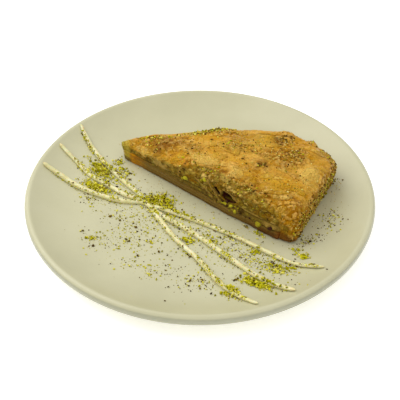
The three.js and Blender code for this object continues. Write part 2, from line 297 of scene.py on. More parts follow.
# camera, floor and light
view = {"elevation": 41.135, "target": (0.129, -12.813, 18), "distance": 620, "lens": 82.26, "sensor": 36,
        "nearest": 10}


def makeCamera():
    tilt = math.radians(view["elevation"])
    data = bpy.data.cameras.new("camera")
    data.lens = view["lens"]
    data.sensor_width = view["sensor"]
    data.clip_start = view["nearest"] * mm
    camera = bpy.data.objects.new("camera", data)
    back = Vector((0, -math.cos(tilt), math.sin(tilt))) * view["distance"]
    camera.location = (Vector(view["target"]) + back) * mm
    camera.rotation_euler = (math.pi / 2 - tilt, 0, 0)
    scene.collection.objects.link(camera)
    scene.camera = camera


def makeStage():
    bm = bmesh.new()
    bmesh.ops.create_grid(bm, x_segments=1, y_segments=1, size=light["floorSize"])
    bmesh.ops.translate(bm, vec=(0, 0, -light["floorDrop"]), verts=bm.verts)
    mesh = meshFromBmesh("floor", bm)
    mesh.materials.append(newMaterial("paleFloor", colour=(*light["floor"], 1), glow=(1, 1, 1, 1),
                                      glowStrength=light["floorGlow"], roughness=0.9, specular=0.1)[0])
    floor = bpy.data.objects.new("floor", mesh)
    scene.collection.objects.link(floor)
    for name, place, size, power in light["lamps"]:
        data = bpy.data.lights.new(name, "AREA")
        data.size = size
        data.energy = power
        data.color = light["tint"]
        lamp = bpy.data.objects.new(name, data)
        toLamp = Vector(place).normalized()
        lamp.location = toLamp * light["away"]
        lamp.rotation_euler = toLamp.to_track_quat("Z", "Y").to_euler()
        scene.collection.objects.link(lamp)
    world = bpy.data.worlds.new("room")  # white overhead and greyer towards the horizon
    world.use_nodes = True
    tree = world.node_tree
    background, split = tree.nodes["Background"], tree.nodes.new("ShaderNodeSeparateXYZ")
    tree.links.new(tree.nodes.new("ShaderNodeTexCoord").outputs["Generated"], split.inputs["Vector"])
    sky = ramp(tree, split.outputs["Z"], [(0, light["horizon"]), (0.8, 1)])
    tree.links.new(sky.outputs["Color"], background.inputs["Color"])
    background.inputs["Strength"].default_value = light["room"]
    scene.world = world
    scene.view_settings.view_transform = "Standard"


makeCamera()
makeStage()
print("camera, floor and light are set")

# plate
plateShape = {"radius": 120, "wellHeight": 7.5, "wellRadius": 80, "rimSlope": 30, "lipRadius": 2.9,
              "wallDrop": 1.4, "bend": (98, 6), "footOuter": 77, "footRecess": 2.2, "footFlare": 2,
              "foot": [(69.6, 1.6), (70.4, 0.5), (71.4, 0.04), (72.4, 0), (75.6, 0), (76.8, 0.25), (77.6, 1)],
              "steps": 168, "edge": (117.5, 119.3), "edgeTilt": (0.75, 0.35), "paintedEdgeShade": (0.66, 0.68, 0.7)}
rimAngle = math.radians(plateShape["rimSlope"])
lipInner = plateShape["radius"] - plateShape["lipRadius"] * (1 + math.sin(rimAngle))
rimCurve = math.tan(rimAngle) / (2 * (lipInner - plateShape["wellRadius"]))
glaze = {"tint": [(0.3, colour(202, 198, 160)), (0.55, colour(208, 204, 166)), (0.75, colour(212, 208, 172))],
         "clouds": (22, 4, 0.55), "streaks": (60, 3, 0.6), "gloss": [(0.3, 0.3), (0.7, 0.42)],
         "bumps": (45, 420)}


def plateTop(x, y):
    return plateShape["wellHeight"] + rimCurve * np.maximum(np.hypot(x, y) - plateShape["wellRadius"], 0) ** 2


def curveThrough(start, middle, end, shares):
    return [start.lerp(middle, t).lerp(middle.lerp(end, t), t) for t in shares]


def plateProfile():  # from the middle of the underside round the lip to the middle of the well
    radius, lipRadius, recess = (plateShape[key] for key in ("radius", "lipRadius", "footRecess"))
    lipX = radius - lipRadius
    lipZ = plateTop(lipInner, 0) - lipRadius * math.cos(rimAngle)
    wallFoot = lipZ - plateShape["wallDrop"]
    foot = [(0, recess), (35, recess), (68, recess)] + plateShape["foot"]
    start = Vector((plateShape["footOuter"] + plateShape["footFlare"], 2))
    end = Vector((lipX, wallFoot - lipRadius))
    middle = 2 * Vector(plateShape["bend"]) - (start + end) / 2  # the curve's own middle is then at the bend
    under = curveThrough(start, middle, end, np.linspace(0, 1, 14))
    corner = Vector((radius - 0.4, wallFoot - lipRadius))
    wall = curveThrough(end, corner, Vector((radius, wallFoot)), np.linspace(0.2, 1, 6))
    turns = np.radians(np.linspace(4, 120, 12))
    lip = [(lipX + lipRadius * math.cos(a), lipZ + lipRadius * math.sin(a)) for a in turns]
    rise = [(x, plateTop(x, 0)) for x in np.linspace(lipInner - 0.6, plateShape["wellRadius"], 14)]
    well = [(x, plateShape["wellHeight"]) for x in (76, 60, 40, 20, 0)]
    return [(float(p[0]), float(p[1])) for p in foot + under + wall + lip + rise + well]


def plateGlaze():
    material, tree, shader = newMaterial("plateGlaze", coat=0.3, coatRoughness=0.22, specular=0.45)
    tint = noiseRamp(tree, glaze["clouds"], glaze["tint"])
    multiplied(tree, tint, attribute(tree, "bakedColour"), shader.inputs["Base Color"])
    gloss = noiseRamp(tree, glaze["streaks"], glaze["gloss"])
    tree.links.new(gloss.outputs["Color"], shader.inputs["Roughness"])
    addBump(tree, shader, [noiseNode(tree, scale, 2) for scale in glaze["bumps"]], 0.12, 0.25)
    return material


def makePlate():
    bm = bmesh.new()
    spin(bm, [bm.verts.new((x, 0, z)) for x, z in plateProfile()], plateShape["steps"], 0.01)
    bmesh.ops.recalc_face_normals(bm, faces=bm.faces)
    mesh = meshFromBmesh("plateDish", bm)
    points = readPoints(mesh)
    # painted shade: the lip's outer wall is darkened where it faces sideways
    edge = smoothStep(*plateShape["edge"], distance(points, 0, 0))
    edge *= smoothStep(*plateShape["edgeTilt"], readNormals(mesh)[:, 2])
    writeColours(mesh, blend(np.ones((len(points), 3)), edge, plateShape["paintedEdgeShade"]))
    return addPiece("plateDish", mesh, plateGlaze(), "plate_glaze", "plate")


dish = makePlate()

# cream drizzle
cream = {"radius": 1.65, "sink": 0.35, "flatten": 0.94, "voxel": 0.42, "smoothing": 3, "blunt": 0.14,
         "ends": (0.35, 0.8), "ripple": (0.08, 2.3), "swell": (0.1, 0.42, 0.12),
         "tint": [(0.28, colour(220, 210, 140)), (0.5, colour(237, 229, 168)), (0.72, colour(248, 243, 200))],
         "strokes": [
    {"width": (1, 1.05), "route": [
        (-89, 72.5), (-80, 55.5), (-67.5, 37), (-51.5, 15), (-38, -1.5), (-29, -19), (-14, -44),
        (-0.5, -61), (9, -76.5), (22, -92.5), (35, -106)]},
    {"width": (0.95, 1.15), "route": [
        (-102, 50), (-90, 38.5), (-77.5, 24.5), (-65, 14), (-51, 3), (-39.5, -3.5), (-27, -17),
        (-8, -32.5), (9.5, -49), (25.5, -65.5), (41, -80), (58.5, -95)]},
    {"width": (1.25, 0.8), "route": [
        (-111, 27), (-97.5, 20), (-84, 11), (-68.5, 2.5), (-54, -3), (-40, -4.5), (-25.5, -11.5),
        (-8.5, -20), (9, -30), (27.5, -41.5), (44.5, -54), (61, -65), (78.5, -73)]}]}


def creamMaterial():
    material, tree, shader = newMaterial("creamDrizzle", roughness=0.42, subsurface=0.15, scatterScale=0.002,
                                         specular=0.5)
    tint = noiseRamp(tree, (160, 4, 0.6), cream["tint"])
    tree.links.new(tint.outputs["Color"], shader.inputs["Base Color"])
    addBump(tree, shader, [noiseNode(tree, 700, 3)], 0.35, 0.2)
    return material


def strokeWidth(stroke, i, count, number):
    first, last = stroke["width"]
    width = first + (last - first) * (i / (count - 1))
    ending = min(i, count - 1 - i)
    height, pace = cream["ripple"]
    return width * (cream["ends"][ending] if ending < 2 else 1 + height * math.sin(pace * i + number))


def makeCream():
    data = bpy.data.curves.new("creamRoutes", "CURVE")
    data.dimensions = "3D"
    data.resolution_u = 16
    data.bevel_depth = cream["radius"]
    data.bevel_resolution = 4
    data.use_fill_caps = True
    for number, stroke in enumerate(cream["strokes"]):
        route = [Vector(place) for place in stroke["route"]]
        route.insert(1, route[0].lerp(route[1], cream["blunt"]))
        route.insert(-1, route[-1].lerp(route[-2], cream["blunt"]))
        spline = data.splines.new("BEZIER")
        spline.bezier_points.add(len(route) - 1)
        for i, (point, place) in enumerate(zip(spline.bezier_points, route)):
            point.co = (*place, (cream["radius"] - cream["sink"]) * cream["flatten"])
            point.handle_left_type = point.handle_right_type = "AUTO"
            point.radius = strokeWidth(stroke, i, len(route), number)
    tubes = finishedMesh(data)
    points = readPoints(tubes, 1)
    points[:, 2] = points[:, 2] * cream["flatten"] + plateTop(points[:, 0], points[:, 1])
    writePoints(tubes, points)
    mesh = remeshed("creamDrizzle", tubes, cream["voxel"], cream["smoothing"])
    points = readPoints(mesh)
    above = smoothStep(0.2, 1.4, points[:, 2] - plateTop(points[:, 0], points[:, 1]))
    even, large, small = cream["swell"]
    swell = even + large * roughNoise(points, 7, 71) + small * softNoise(points, 2.6, 72)
    writePoints(mesh, points + readNormals(mesh) * (swell * above)[:, None])
    return addPiece("creamDrizzle", mesh, creamMaterial(), "cream", "plate")


drizzle = makeCream()
print("the plate and its drizzle are made")

# the slice: where its faces lie
wedge = {"tip": (-56, 48), "end": (81, -8), "frontLine": ((-53, 43.5), (22, -19.5), (63, -48.5)),
         "endLine": ((63, -48.5), (97.5, 17.5)), "slant": (0.25, 9), "wrapFrom": 49, "wrapTo": 55,
         "gaps": [(19.5, -17, 16.6, 13, 14, 8.4), (11.5, -9.5, 16.5, 6.4, 8, 6.4)], "gapTurn": (114, -90),
         "gapMargin": 0.8}
wedgeAxis = (Vector(wedge["end"]) - Vector(wedge["tip"])).normalized()
bottom = plateShape["wellHeight"] + 0.02


def wedgeFrame(points):  # along from the tip, across towards the back, up
    x, y = points[:, 0] - wedge["tip"][0], points[:, 1] - wedge["tip"][1]
    return np.stack([x * wedgeAxis.x + y * wedgeAxis.y, y * wedgeAxis.x - x * wedgeAxis.y, points[:, 2]], 1)


def beyondLine(points, start, end):  # how far outside the line's right hand side a point is
    length = math.hypot(end[0] - start[0], end[1] - start[1])
    dx, dy = (end[0] - start[0]) / length, (end[1] - start[1]) / length
    return (points[:, 0] - start[0]) * dy - (points[:, 1] - start[1]) * dx


def beyondFront(points):
    a, b, c = wedge["frontLine"]
    return np.maximum(beyondLine(points, a, b), beyondLine(points, b, c))


def alongCut(points):  # how far along the front cut from the tip
    start, corner = (Vector(p) for p in wedge["frontLine"][:2])
    along = (corner - start).normalized()
    return (points[:, 0] - start.x) * along.x + (points[:, 1] - start.y) * along.y


def towardsRoll(points):  # grows towards the rolled end and slants as its edge does
    lean, shift = wedge["slant"]
    return points[:, 0] - points[:, 1] * lean - shift


def facesSideways(outward):
    return 1 - smoothStep(0.45, 0.8, np.abs(outward[:, 2]))


def onCut(points, outward):  # the two long sides, where the sheets' edges show
    return facesSideways(outward) * (1 - smoothStep(wedge["wrapFrom"], wedge["wrapTo"], towardsRoll(points)))


def insideGap(points):
    turn = math.atan2(wedge["gapTurn"][1], wedge["gapTurn"][0])
    inside = np.zeros(len(points))
    for x, y, height, *sizes in wedge["gaps"]:
        dx, dy = points[:, 0] - x, points[:, 1] - y
        offsets = (dx * math.cos(turn) + dy * math.sin(turn), dy * math.cos(turn) - dx * math.sin(turn),
                   points[:, 2] - plateShape["wellHeight"] - height)
        halves = [size / 2 + wedge["gapMargin"] for size in sizes]
        far = np.sqrt(sum((offset / half) ** 2 for offset, half in zip(offsets, halves)))
        inside = np.maximum(inside, 1 - smoothStep(0.92, 1.1, far))
    return inside * (1 - smoothStep(-2.2, -0.4, beyondFront(points)))


def patchMask(points, x, y, halfLong, halfWide, turn, seed):
    angle = math.radians(turn)
    dx, dy = points[:, 0] - x, points[:, 1] - y
    along = (dx * math.cos(angle) + dy * math.sin(angle)) / halfLong
    across = (dy * math.cos(angle) - dx * math.sin(angle)) / halfWide
    return 1 - smoothStep(0.4, 1.2, np.hypot(along, across) + 0.45 * roughNoise(points, 6, seed))


sheets = {"pitch": 1.25, "wave": 0.8, "ripple": 0.35, "ragged": 0.5, "bulge": 0.2}


def sheetEdges(points, seed):  # how far each thin sheet stands out of a cut side, which one it is, its middle
    flat = points * [1, 1, 0]
    level = points[:, 2] / sheets["pitch"] + sheets["wave"] * softNoise(flat, 26, seed) \
        + sheets["ripple"] * softNoise(flat, 6, seed + 1)
    number = np.floor(level)
    place = np.stack([points[:, 0], points[:, 1], number * 37], 1)
    reach = 0.55 * softNoise(place, (5, 5, 1), seed + 2) + 0.45 * softNoise(place, (16, 16, 1), seed + 3)
    crown = 1 - (2 * (level - number) - 1) ** 2
    tone = hashed(number.astype(np.int64), 0, 0, seed)
    return sheets["ragged"] * reach + sheets["bulge"] * crown, tone, crown


def pastryMaterial(name, gloss, grainScale, coat, shine, scatter, contrast):
    material, tree, shader = newMaterial(name, coat=coat, coatRoughness=0.2, subsurface=scatter,
                                         scatterScale=0.0015, specular=shine, tint=(1, 0.68, 0.16, 1))
    dark, bright = 1 - contrast, 1 + contrast * 0.5  # the darker specks are also the redder ones
    shade = noiseRamp(tree, (grainScale, 5, 0.65), [
        (0.33, (dark, dark * 0.93, dark * 0.75)), (0.5, 1), (0.7, (bright, bright, bright * 1.15))])
    multiplied(tree, attribute(tree, "bakedColour"), shade, shader.inputs["Base Color"])
    rough = noiseRamp(tree, (130, 3, 0.6), [(0.35, gloss[0]), (0.65, gloss[1])])
    tree.links.new(rough.outputs["Color"], shader.inputs["Roughness"])
    addBump(tree, shader, [noiseNode(tree, 380, 4, 0.6), noiseNode(tree, 1500, 3, 0.6)], 0.45, 0.25)
    return material


# crust
baked = palette(
    gold=(216, 160, 36), pale=(238, 193, 98), amber=(204, 142, 18), brown=(160, 105, 6), dark=(96, 56, 6),
    cutPale=(170, 138, 62), cutGreen=(144, 118, 30), cutDark=(96, 74, 14), cutGrey=(194, 162, 84),
    tipGreen=(192, 172, 64), hollow=(44, 8, 10), hollowLit=(88, 36, 34), crumb=(250, 208, 116),
    tornPale=(200, 174, 74), deep=(122, 74, 2), spot=(104, 54, 26), roll=(232, 156, 14), base=(104, 62, 22))
crust = {"voxel": 0.56, "smoothing": 5, "warp": 1.2, "settle": 0.85, "ceiling": cadBox[1][2] / mm,
         "tears": [((67, 44), (88, 10), 0.9), ((81.5, 36), (90, 8), 1.0)], "tearFade": (2, 18),
         "bites": [(75, 42, 8.8, 8.2, 30.2, 0.32), (88.4, 37.4, 4.8, 8.6, 26.4, 0)], "uncut": 40,
         "raised": [(61, 41, 9, 1.4), (80.5, 34, 4.5, 3), (89, 23, 6, 2.6), (22, 0, 4, 0.9),
                    (33, -9, 5, 0.6)],
         "torn": ((40, 58, 72, 104, 118, 132), (0.5, 3, 8, 8, 5, 1)), "tornTo": 134, "tornDepth": 0.8,
         "foot": (56.5, -44, 12, 1.3), "lap": (56.5, 2.6), "roll": (61, -42), "curtain": 2,
         "bins": (4, 41), "bandDepth": (2.5, 5.5),
         "terraces": [(24, 10, -0.26, 0.2), (17, 7, -0.1, 0.18), (13, 6, 0.04, 0.2), (20, 9, 0.16, 0.18),
                      (10, 5, 0.26, 0.2)]}
relief = {"swells": 0.4, "creases": 0.08, "cracks": 0.25, "grain": 0.03, "crumbs": 0.12, "platelets": 0.5,
          "lean": 0.6, "gaps": 0.3, "chips": 0.35}
crumblySpots = [  # rough and smooth places on the crust: place, half sizes, turn, how rough
    (-32, 44, 11, 6, -20, 1), (-22, 33, 9, 8, -40, 1), (-12, 38, 9, 5, -10, 0.8), (7, 47, 16, 4, -6, 1),
    (22, 39, 11, 6, 0, 1), (26, 23, 9, 4.5, 0, 0.8), (41, 37, 9, 4, 0, 0.8), (60, 30, 9, 7, 0, 1),
    (66, 39, 6, 4, 0, 0.7), (55, 15, 11, 7, 0, 0.9), (69, 18, 8, 5, 0, 0.7), (41, -1, 8, 4, -30, 0.8),
    (61, 7, 10, 6, 0, 0.7), (36, -14, 9, 4, -38, 1), (23, -7, 11, 4, -38, 1), (31, -20, 11, 4, -38, 1),
    (46, -27, 9, 6, -38, 1), (57, -37, 10, 9, 0, 1.2), (-38, 36, 11, 4, -38, 0.8), (-6, 12, 7, 3, -38, 0.7),
    (-50, 46, 6, 5, 0, 1), (2, 16, 11, 7, -30, -0.9), (9, 36, 8, 4, 0, -0.5), (35, 28, 10, 6, 0, -0.7),
    (26, 11, 10, 9, 0, -0.5), (53, -10, 9, 7, -30, -0.9), (75, -7, 7, 13, -20, -0.9),
    (81, 14, 6, 10, 10, -0.8), (66, -22, 6, 8, 0, -0.5)]
patches = [  # baked or dusted differently: place, half sizes, turn, colour, strength
    (3, 13, 15, 9, -35, "pale", 0.5), (-43, 44, 10, 6, -38, "amber", 0.6),
    (-27, 37, 9, 10, -20, "brown", 0.9), (22, 0, 6, 5, -38, "pale", 0.7),
    (10, -1, 12, 7, -38, "brown", 0.8), (36, 33, 26, 9, -8, "gold", 0.6),
    (60, 8, 13, 9, -20, "brown", 0.55), (73, -9, 12, 9, 60, "pale", 0.6),
    (54, -31, 13, 8, -25, "amber", 0.8), (30, 12, 14, 8, -10, "pale", 0.2),
    (-24, 37, 10, 4, -60, "brown", 0.7), (43, -27, 9, 4, -38, "brown", 0.6),
    (36, -2, 8, 3, -30, "brown", 0.5), (45, 2, 5, 3, -20, "brown", 0.6), (66, 26, 8, 6, 10, "amber", 0.5),
    (87, 14, 14, 8, 60, "pale", 0.2), (-14, 24, 10, 5, -38, "gold", 0.6), (55, 31, 7, 5, -10, "brown", 0.5),
    (34, -18, 14, 5, -34, "brown", 0.5)]
scorched = [
    (-26.5, 37, 9, 10, -20, "deep", 0.6), (-14, 34, 5, 4, 0, "deep", 0.4), (14, -4, 8, 4, -38, "deep", 0.4),
    (28, 30, 8, 4, 0, "deep", 0.3), (-3, 27, 8, 5, -30, "deep", 0.3), (43, 6, 4, 3, 0, "deep", 0.4),
    (80, 14, 5, 6, 0, "deep", 0.25), (53, 30, 6, 4, 0, "deep", 0.3), (84, 20, 5, 7, 0, "deep", 0.25)]
cutPatches = [  # along the cut from the tip, height, half sizes, colour, strength
    (128, 21, 11, 7, "cutPale", 0.8), (111, 27, 14, 4, "cutGreen", 0.8), (95, 14, 10, 5, "cutDark", 0.8),
    (34, 20, 30, 8, "cutGrey", 0.9), (72, 26, 16, 4, "cutGreen", 0.6), (64, 16, 14, 4, "cutGrey", 0.7),
    (84, 22, 5, 7, "cutPale", 0.5), (118, 14, 18, 3, "cutDark", 0.6), (136, 12, 5, 5, "amber", 0.7),
    (54, 13, 34, 3, "cutDark", 0.5), (4, 15, 10, 6, "tipGreen", 0.9), (98, 19.5, 9, 2.4, "dark", 0.7)]
# Rows that follow the relief (flakes, swells, number, chip and fine) make raised parts paler and low parts
# darker: partly the pastry's own browning, partly painted light and shade, with painted highlights on
# standing chips.
underTones = [  # what each follows, from, to, its strength everywhere and how much more where crumbly, colour
    ("clouds", -0.1, 0.5, 0.5, 0, "amber"), ("flakes", 0.45, 1, 0.7, 0, "pale"),
    ("flakes", 0.45, 0, 0.55, 0, "amber")]
overTones = [
    ("swells", 0, 0.5, 0.3, 0, "pale"), ("swells", -0.1, -0.5, 0.35, 0, "amber"),
    ("blots", 0.3, 0.6, 0.15, 0.5, "brown"), ("flecks", 0.4, 0.7, 0.15, 0.4, "pale"),
    ("number", 0.62, 0.78, 0.1, 0.4, "pale"), ("number", 0.4, 0.24, 0.08, 0.45, "brown"),
    ("chip", 0.72, 0.86, 0, 0.75, "crumb"), ("chip", 0.24, 0.12, 0, 0.55, "deep"),
    ("fine", -0.15, -0.55, 0.1, 0.4, "deep"), ("pits", 0.35, 0.6, 0, 0.8, "deep")]
darkSpecks = [  # larger bits of skin on the crust and by the cut
    (55.3, 31.7, 35), (56.8, 25.3, 35), (64.3, 34.7, 35), (67.6, 16.7, 34), (41.5, 2.6, 34),
    (44.8, 1.1, 34), (36, 17.8, 34), (27.8, 19.5, 34), (29.5, 9.9, 34), (13.1, 49, 27), (1.6, 44.5, 30),
    (8.6, 34.6, 33), (-10.3, 12.1, 30.4), (-11.7, 9.4, 27.7), (-13.1, 10.3, 21.3), (40, 4.4, 34),
    (57.6, 27.4, 35)]


def crumbBand(points, cut):  # the torn, crumbly strip of the cut just below the crust
    place = alongCut(points)
    width, count = crust["bins"]
    bins = np.clip((place / width).astype(int), 0, count - 1)
    tops = np.full(count, plateShape["wellHeight"])
    np.maximum.at(tops, bins[cut > 0.5], points[cut > 0.5, 2])
    below = np.interp(place / width, np.arange(count) + 0.5, tops) - points[:, 2]
    least, more = crust["bandDepth"]
    deep = least + more * smoothStep(40, 75, place)
    return cut * (1 - smoothStep(0.6, 1.15, below / deep + 0.3 * roughNoise(points, 6, 315)))


def markCrust(points, outward):  # what both the relief and the colours follow
    local = wedgeFrame(points)
    marks = SimpleNamespace(top=smoothStep(0.3, 0.75, outward[:, 2]), hollow=insideGap(points))
    marks.cut = onCut(points, outward) * (1 - marks.top)
    marks.wrap = (1 - marks.top) * (1 - marks.cut)
    marks.terraces, marks.flakes, marks.rims = np.zeros((3, len(points)))
    for i, (long, wide, level, thick) in enumerate(crust["terraces"]):  # one broken sheet lying on the next
        ragged = 0.34 * roughNoise(local, (3.4, 2.4, 3), 151 + i)
        field = roughNoise(local, (long, wide, 14), 101 + i * 7, 4) + ragged
        step = smoothStep(level - 0.04, level + 0.04, field)
        marks.terraces += thick * step
        marks.flakes += step / len(crust["terraces"])
        marks.rims = np.maximum(marks.rims, 4 * step * (1 - step))
    marks.creases = np.clip(1 - np.abs(roughNoise(local, (17, 4, 8), 201, 2)) * 4, 0, 1) ** 2
    crumbly = 0.25 + 0.5 * roughNoise(local, (12, 8, 12), 215)
    for i, (*spot, strength) in enumerate(crumblySpots):
        crumbly += patchMask(points, *spot, 601 + i) * strength
    marks.crumbly = np.clip(crumbly, 0, 1)
    marks.swells = roughNoise(local, (13, 7, 9), 211)
    marks.fine = 0.6 * softNoise(points, 1.5, 221) + 0.5 * softNoise(points, (3.2, 2.4, 3), 222)
    marks.clouds = roughNoise(local, (26, 14, 20), 401)
    marks.blots, marks.flecks = roughNoise(local, (5, 3, 4), 451), roughNoise(local, (3, 2.4, 3), 455)
    marks.cutClouds = mottle(local, (9, 9, 2.5), 471, -0.2, 0.5)
    warp = crust["warp"] * np.stack([softNoise(points, 2.8, 705 + i) for i in range(3)], 1)
    marks.number, gap, marks.lean = platelets(local + warp, (4.4, 2.8, 3), 701)
    marks.between = smoothStep(0.26, 0.04, gap)
    marks.chip, gap, marks.chipLean = platelets(local + 0.9 * warp, (2.7, 1.9, 1.6), 711)
    marks.chipped = smoothStep(0.3, 0.04, gap)
    nearRoll = smoothStep(19, 8, distance(points, *crust["roll"]))
    cracks = np.clip(1 - np.abs(roughNoise(points, (5, 5, 4), 233, 2)) * 7, 0, 1)
    marks.cracks = cracks * np.clip(nearRoll + 0.5 * marks.crumbly, 0, 1)
    marks.crackle = 0.5 * roughNoise(points, (4, 4, 2.6), 231) + 0.5 * (marks.chip - 0.5) \
        + 0.4 * marks.chipLean - 0.3 * marks.chipped
    marks.band = crumbBand(points, marks.cut)
    place = alongCut(points)
    ripped = beyondFront(points) + np.interp(place, *crust["torn"]) + 1.6 * roughNoise(points, 5, 245)
    marks.ripped = smoothStep(-0.4, 0.5, ripped) * (place < crust["tornTo"])
    return marks


def crustHeight(points, marks):
    crumbs = relief["platelets"] * (marks.number - 0.5) + relief["lean"] * marks.lean \
        - relief["gaps"] * marks.between + relief["chips"] * (marks.chip - 0.5)
    height = marks.terraces + relief["swells"] * marks.swells - relief["creases"] * marks.creases \
        - relief["cracks"] * marks.cracks + marks.crumbly * crumbs \
        + (relief["grain"] + relief["crumbs"] * marks.crumbly) * marks.fine
    for x, y, reach, amount in crust["raised"]:
        height += amount * np.exp(-(distance(points, x, y) / reach) ** 2)
    height -= marks.ripped * (crust["tornDepth"] + 0.5 * roughNoise(points, (4, 4, 3), 247))
    for start, end, depth in crust["tears"]:  # sharpens the source's tears
        past = -beyondLine(points, start, end) - 1 + 1.4 * roughNoise(points, 5, 241)
        gone = smoothStep(-0.4, 0.4, past) * smoothStep(*crust["tearFade"], points[:, 1])
        height -= depth * gone
        marks.rims = np.maximum(marks.rims, 4 * gone * (1 - gone))
    return height - crust["settle"]


def shapeCrust(points, outward, marks):  # points are moved where they are
    edges, marks.sheetTone, marks.crown = sheetEdges(points, 301)
    torn = 0.8 * roughNoise(points, (4.5, 4.5, 3.4), 311) + 0.8 * (marks.chip - 0.5) \
        + 0.6 * marks.chipLean - 0.35 * marks.chipped
    standing = 0.35 + 0.65 * smoothStep(40, 70, alongCut(points))  # the sheets lie closer near the tip
    edges = edges * (1 - marks.band) * standing + marks.band * torn
    move = crustHeight(points, marks) * marks.top + edges * marks.cut * (1 - marks.hollow) \
        + marks.crackle * marks.wrap * (outward[:, 2] > -0.5)
    mouth = smoothStep(0.05, 0.4, marks.hollow) * smoothStep(-3, -1, beyondFront(points))
    points += outward * (0.9 * mouth * roughNoise(points, 3, 255, 2) + move)[:, None]
    marks.shelf = np.zeros(len(points))
    for x, y, halfWide, halfDeep, level, slope in crust["bites"]:  # broken off corners
        far = np.hypot((points[:, 0] - x) / halfWide, (points[:, 1] - y) / halfDeep)
        gone = 1 - smoothStep(0.92, 1.04, far + 0.12 * roughNoise(points, 4, 251))
        level = level + slope * (points[:, 0] - x) + 0.6 * roughNoise(points, 3, 252)
        ceiling = crust["uncut"] - (crust["uncut"] - level) * gone
        marks.shelf = np.maximum(marks.shelf, gone * (points[:, 2] > ceiling))
        points[:, 2] = np.minimum(points[:, 2], ceiling)
    seam = smoothStep(0.1, -0.3, outward[:, 2]) * smoothStep(56, 44, alongCut(points))
    points[:, 2] -= 0.5 * seam  # closes it near the tip
    curtain = smoothStep(-46, -52, points[:, 0]) * smoothStep(18, 14.5, points[:, 2])
    points[:, 2] -= crust["curtain"] * curtain  # the tip hangs a little lower
    x, y, reach, amount = crust["foot"]  # the front corner spreads where it stands
    spread = amount * smoothStep(reach, 2, distance(points, x, y)) * smoothStep(17, 9, points[:, 2])
    points[:, :2] += outward[:, :2] * spread[:, None]
    x, reach = crust["lap"]  # the roll's torn edge lies over the lower sheets
    lap = np.exp(-((points[:, 0] - x) / reach) ** 2) * smoothStep(-3.5, -2, beyondFront(points))
    lap *= smoothStep(24, 20, points[:, 2]) * (2.2 + 1.8 * roughNoise(points * (0, 0, 1), 4, 257))
    points[:, :2] += lap[:, None] * (-0.8, 0.6)
    points[:, 2] = np.clip(points[:, 2], bottom, crust["ceiling"] - 0.5)


def byMarks(tones, marks, rows):
    for field, low, high, everywhere, crumbly, name in rows:
        strength = everywhere + crumbly * marks.crumbly
        tones = blend(tones, smoothStep(low, high, getattr(marks, field)) * strength, baked[name])
    return tones


def withPatches(points, tones, spots, seed):
    for i, (*spot, name, strength) in enumerate(spots):
        tones = blend(tones, patchMask(points, *spot, seed + i) * strength, baked[name])
    return tones


def paintCrustTop(points, marks):
    marks.pits = roughNoise(points, (2.2, 2.2, 2), 456, 2)
    tones = byMarks(plain(points, baked["gold"]), marks, underTones)
    tones = byMarks(withPatches(points, tones, patches, 421), marks, overTones)
    # painted shade: the gaps between flakes, the cracks and the creases, which are sunk in the relief, are
    # darkened
    gaps = marks.between * (0.08 + 0.5 * marks.crumbly) * smoothStep(-0.5, 0.1, marks.swells)
    tones = coated(
        tones, baked, (gaps, "deep"), (marks.cracks * 0.8, "deep"),
        (marks.rims * 0.1 * marks.top, "brown"), (marks.creases * 0.2 * marks.top, "brown"),
        (marks.wrap * (0.75 - 0.55 * smoothStep(66, 76, points[:, 0])), "amber"),
        (marks.shelf * 0.45, "brown"))
    tones = withPatches(points, tones, scorched, 641)
    tones = blend(tones, marks.wrap * smoothStep(70, 64, points[:, 0]) * 0.45, baked["roll"])
    for x, y, z in darkSpecks:
        stain = np.exp(-distance(points, x, y) ** 2 / 2.4) * smoothStep(6, 3, np.abs(points[:, 2] - z))
        tones = blend(tones, stain * marks.top * 0.6, baked["spot"])
    # on the rolled end, painted shade where the crackled surface sinks and between chips, and a painted
    # highlight on the chips that stand out
    chips = np.maximum(0.8 * marks.chipped, smoothStep(0.3, 0.2, marks.chip))
    return coated(
        tones, baked, (marks.wrap * mottle(points, 4, 461, 0, 0.4) * 0.4, "brown"),
        (marks.wrap * smoothStep(-0.05, -0.35, marks.crackle) * 0.7, "brown"),
        (marks.wrap * smoothStep(0.68, 0.8, marks.chip) * 0.6, "crumb"), (marks.wrap * chips * 0.5, "deep"))


def paintCrustCut(points, marks):
    place, band = alongCut(points), np.maximum(marks.band, marks.ripped)
    # painted shade: the cut side is darker away from each sheet's crown, in the grooves between the sheets
    side = coated(
        plain(points, baked["cutGreen"]), baked, (smoothStep(0.3, 0.9, marks.sheetTone) * 0.8, "cutPale"),
        (smoothStep(0.75, 0.1, marks.crown) * (0.08 + 0.2 * smoothStep(50, 80, place)), "cutDark"),
        (marks.cutClouds * 0.45, "cutDark"))
    for i, (middle, height, halfLong, halfTall, name, strength) in enumerate(cutPatches):
        far = np.hypot((place - middle) / halfLong, (points[:, 2] - height) / halfTall)
        mask = 1 - smoothStep(0.5, 1.2, far + 0.35 * roughNoise(points, 5, 481 + i))
        side = blend(side, mask * strength, baked[name])
    side = blend(side, marks.ripped * 0.9, baked["cutGreen"])
    for i, (name, low) in enumerate([("brown", 0.1), ("cutGreen", 0.0), ("gold", 0.4)]):
        spots = mottle(points, (2.8, 2.8, 2.4), 491 + i, low, low + 0.25, 2)
        side = blend(side, band * spots * 0.7, baked[name])
    # in the torn band, painted shade along the flakes' gaps and where chips sink, and a painted highlight
    # where chips stand out
    return coated(
        side, baked, (band * smoothStep(0.62, 0.78, marks.number) * 0.55, "tornPale"),
        (band * smoothStep(0.8, 0.92, marks.chip) * 0.5, "crumb"),
        (band * smoothStep(0.36, 0.2, marks.number) * 0.4, "brown"),
        (band * np.maximum(0.8 * marks.between, 0.7 * smoothStep(0.2, 0.1, marks.chip)), "cutDark"))


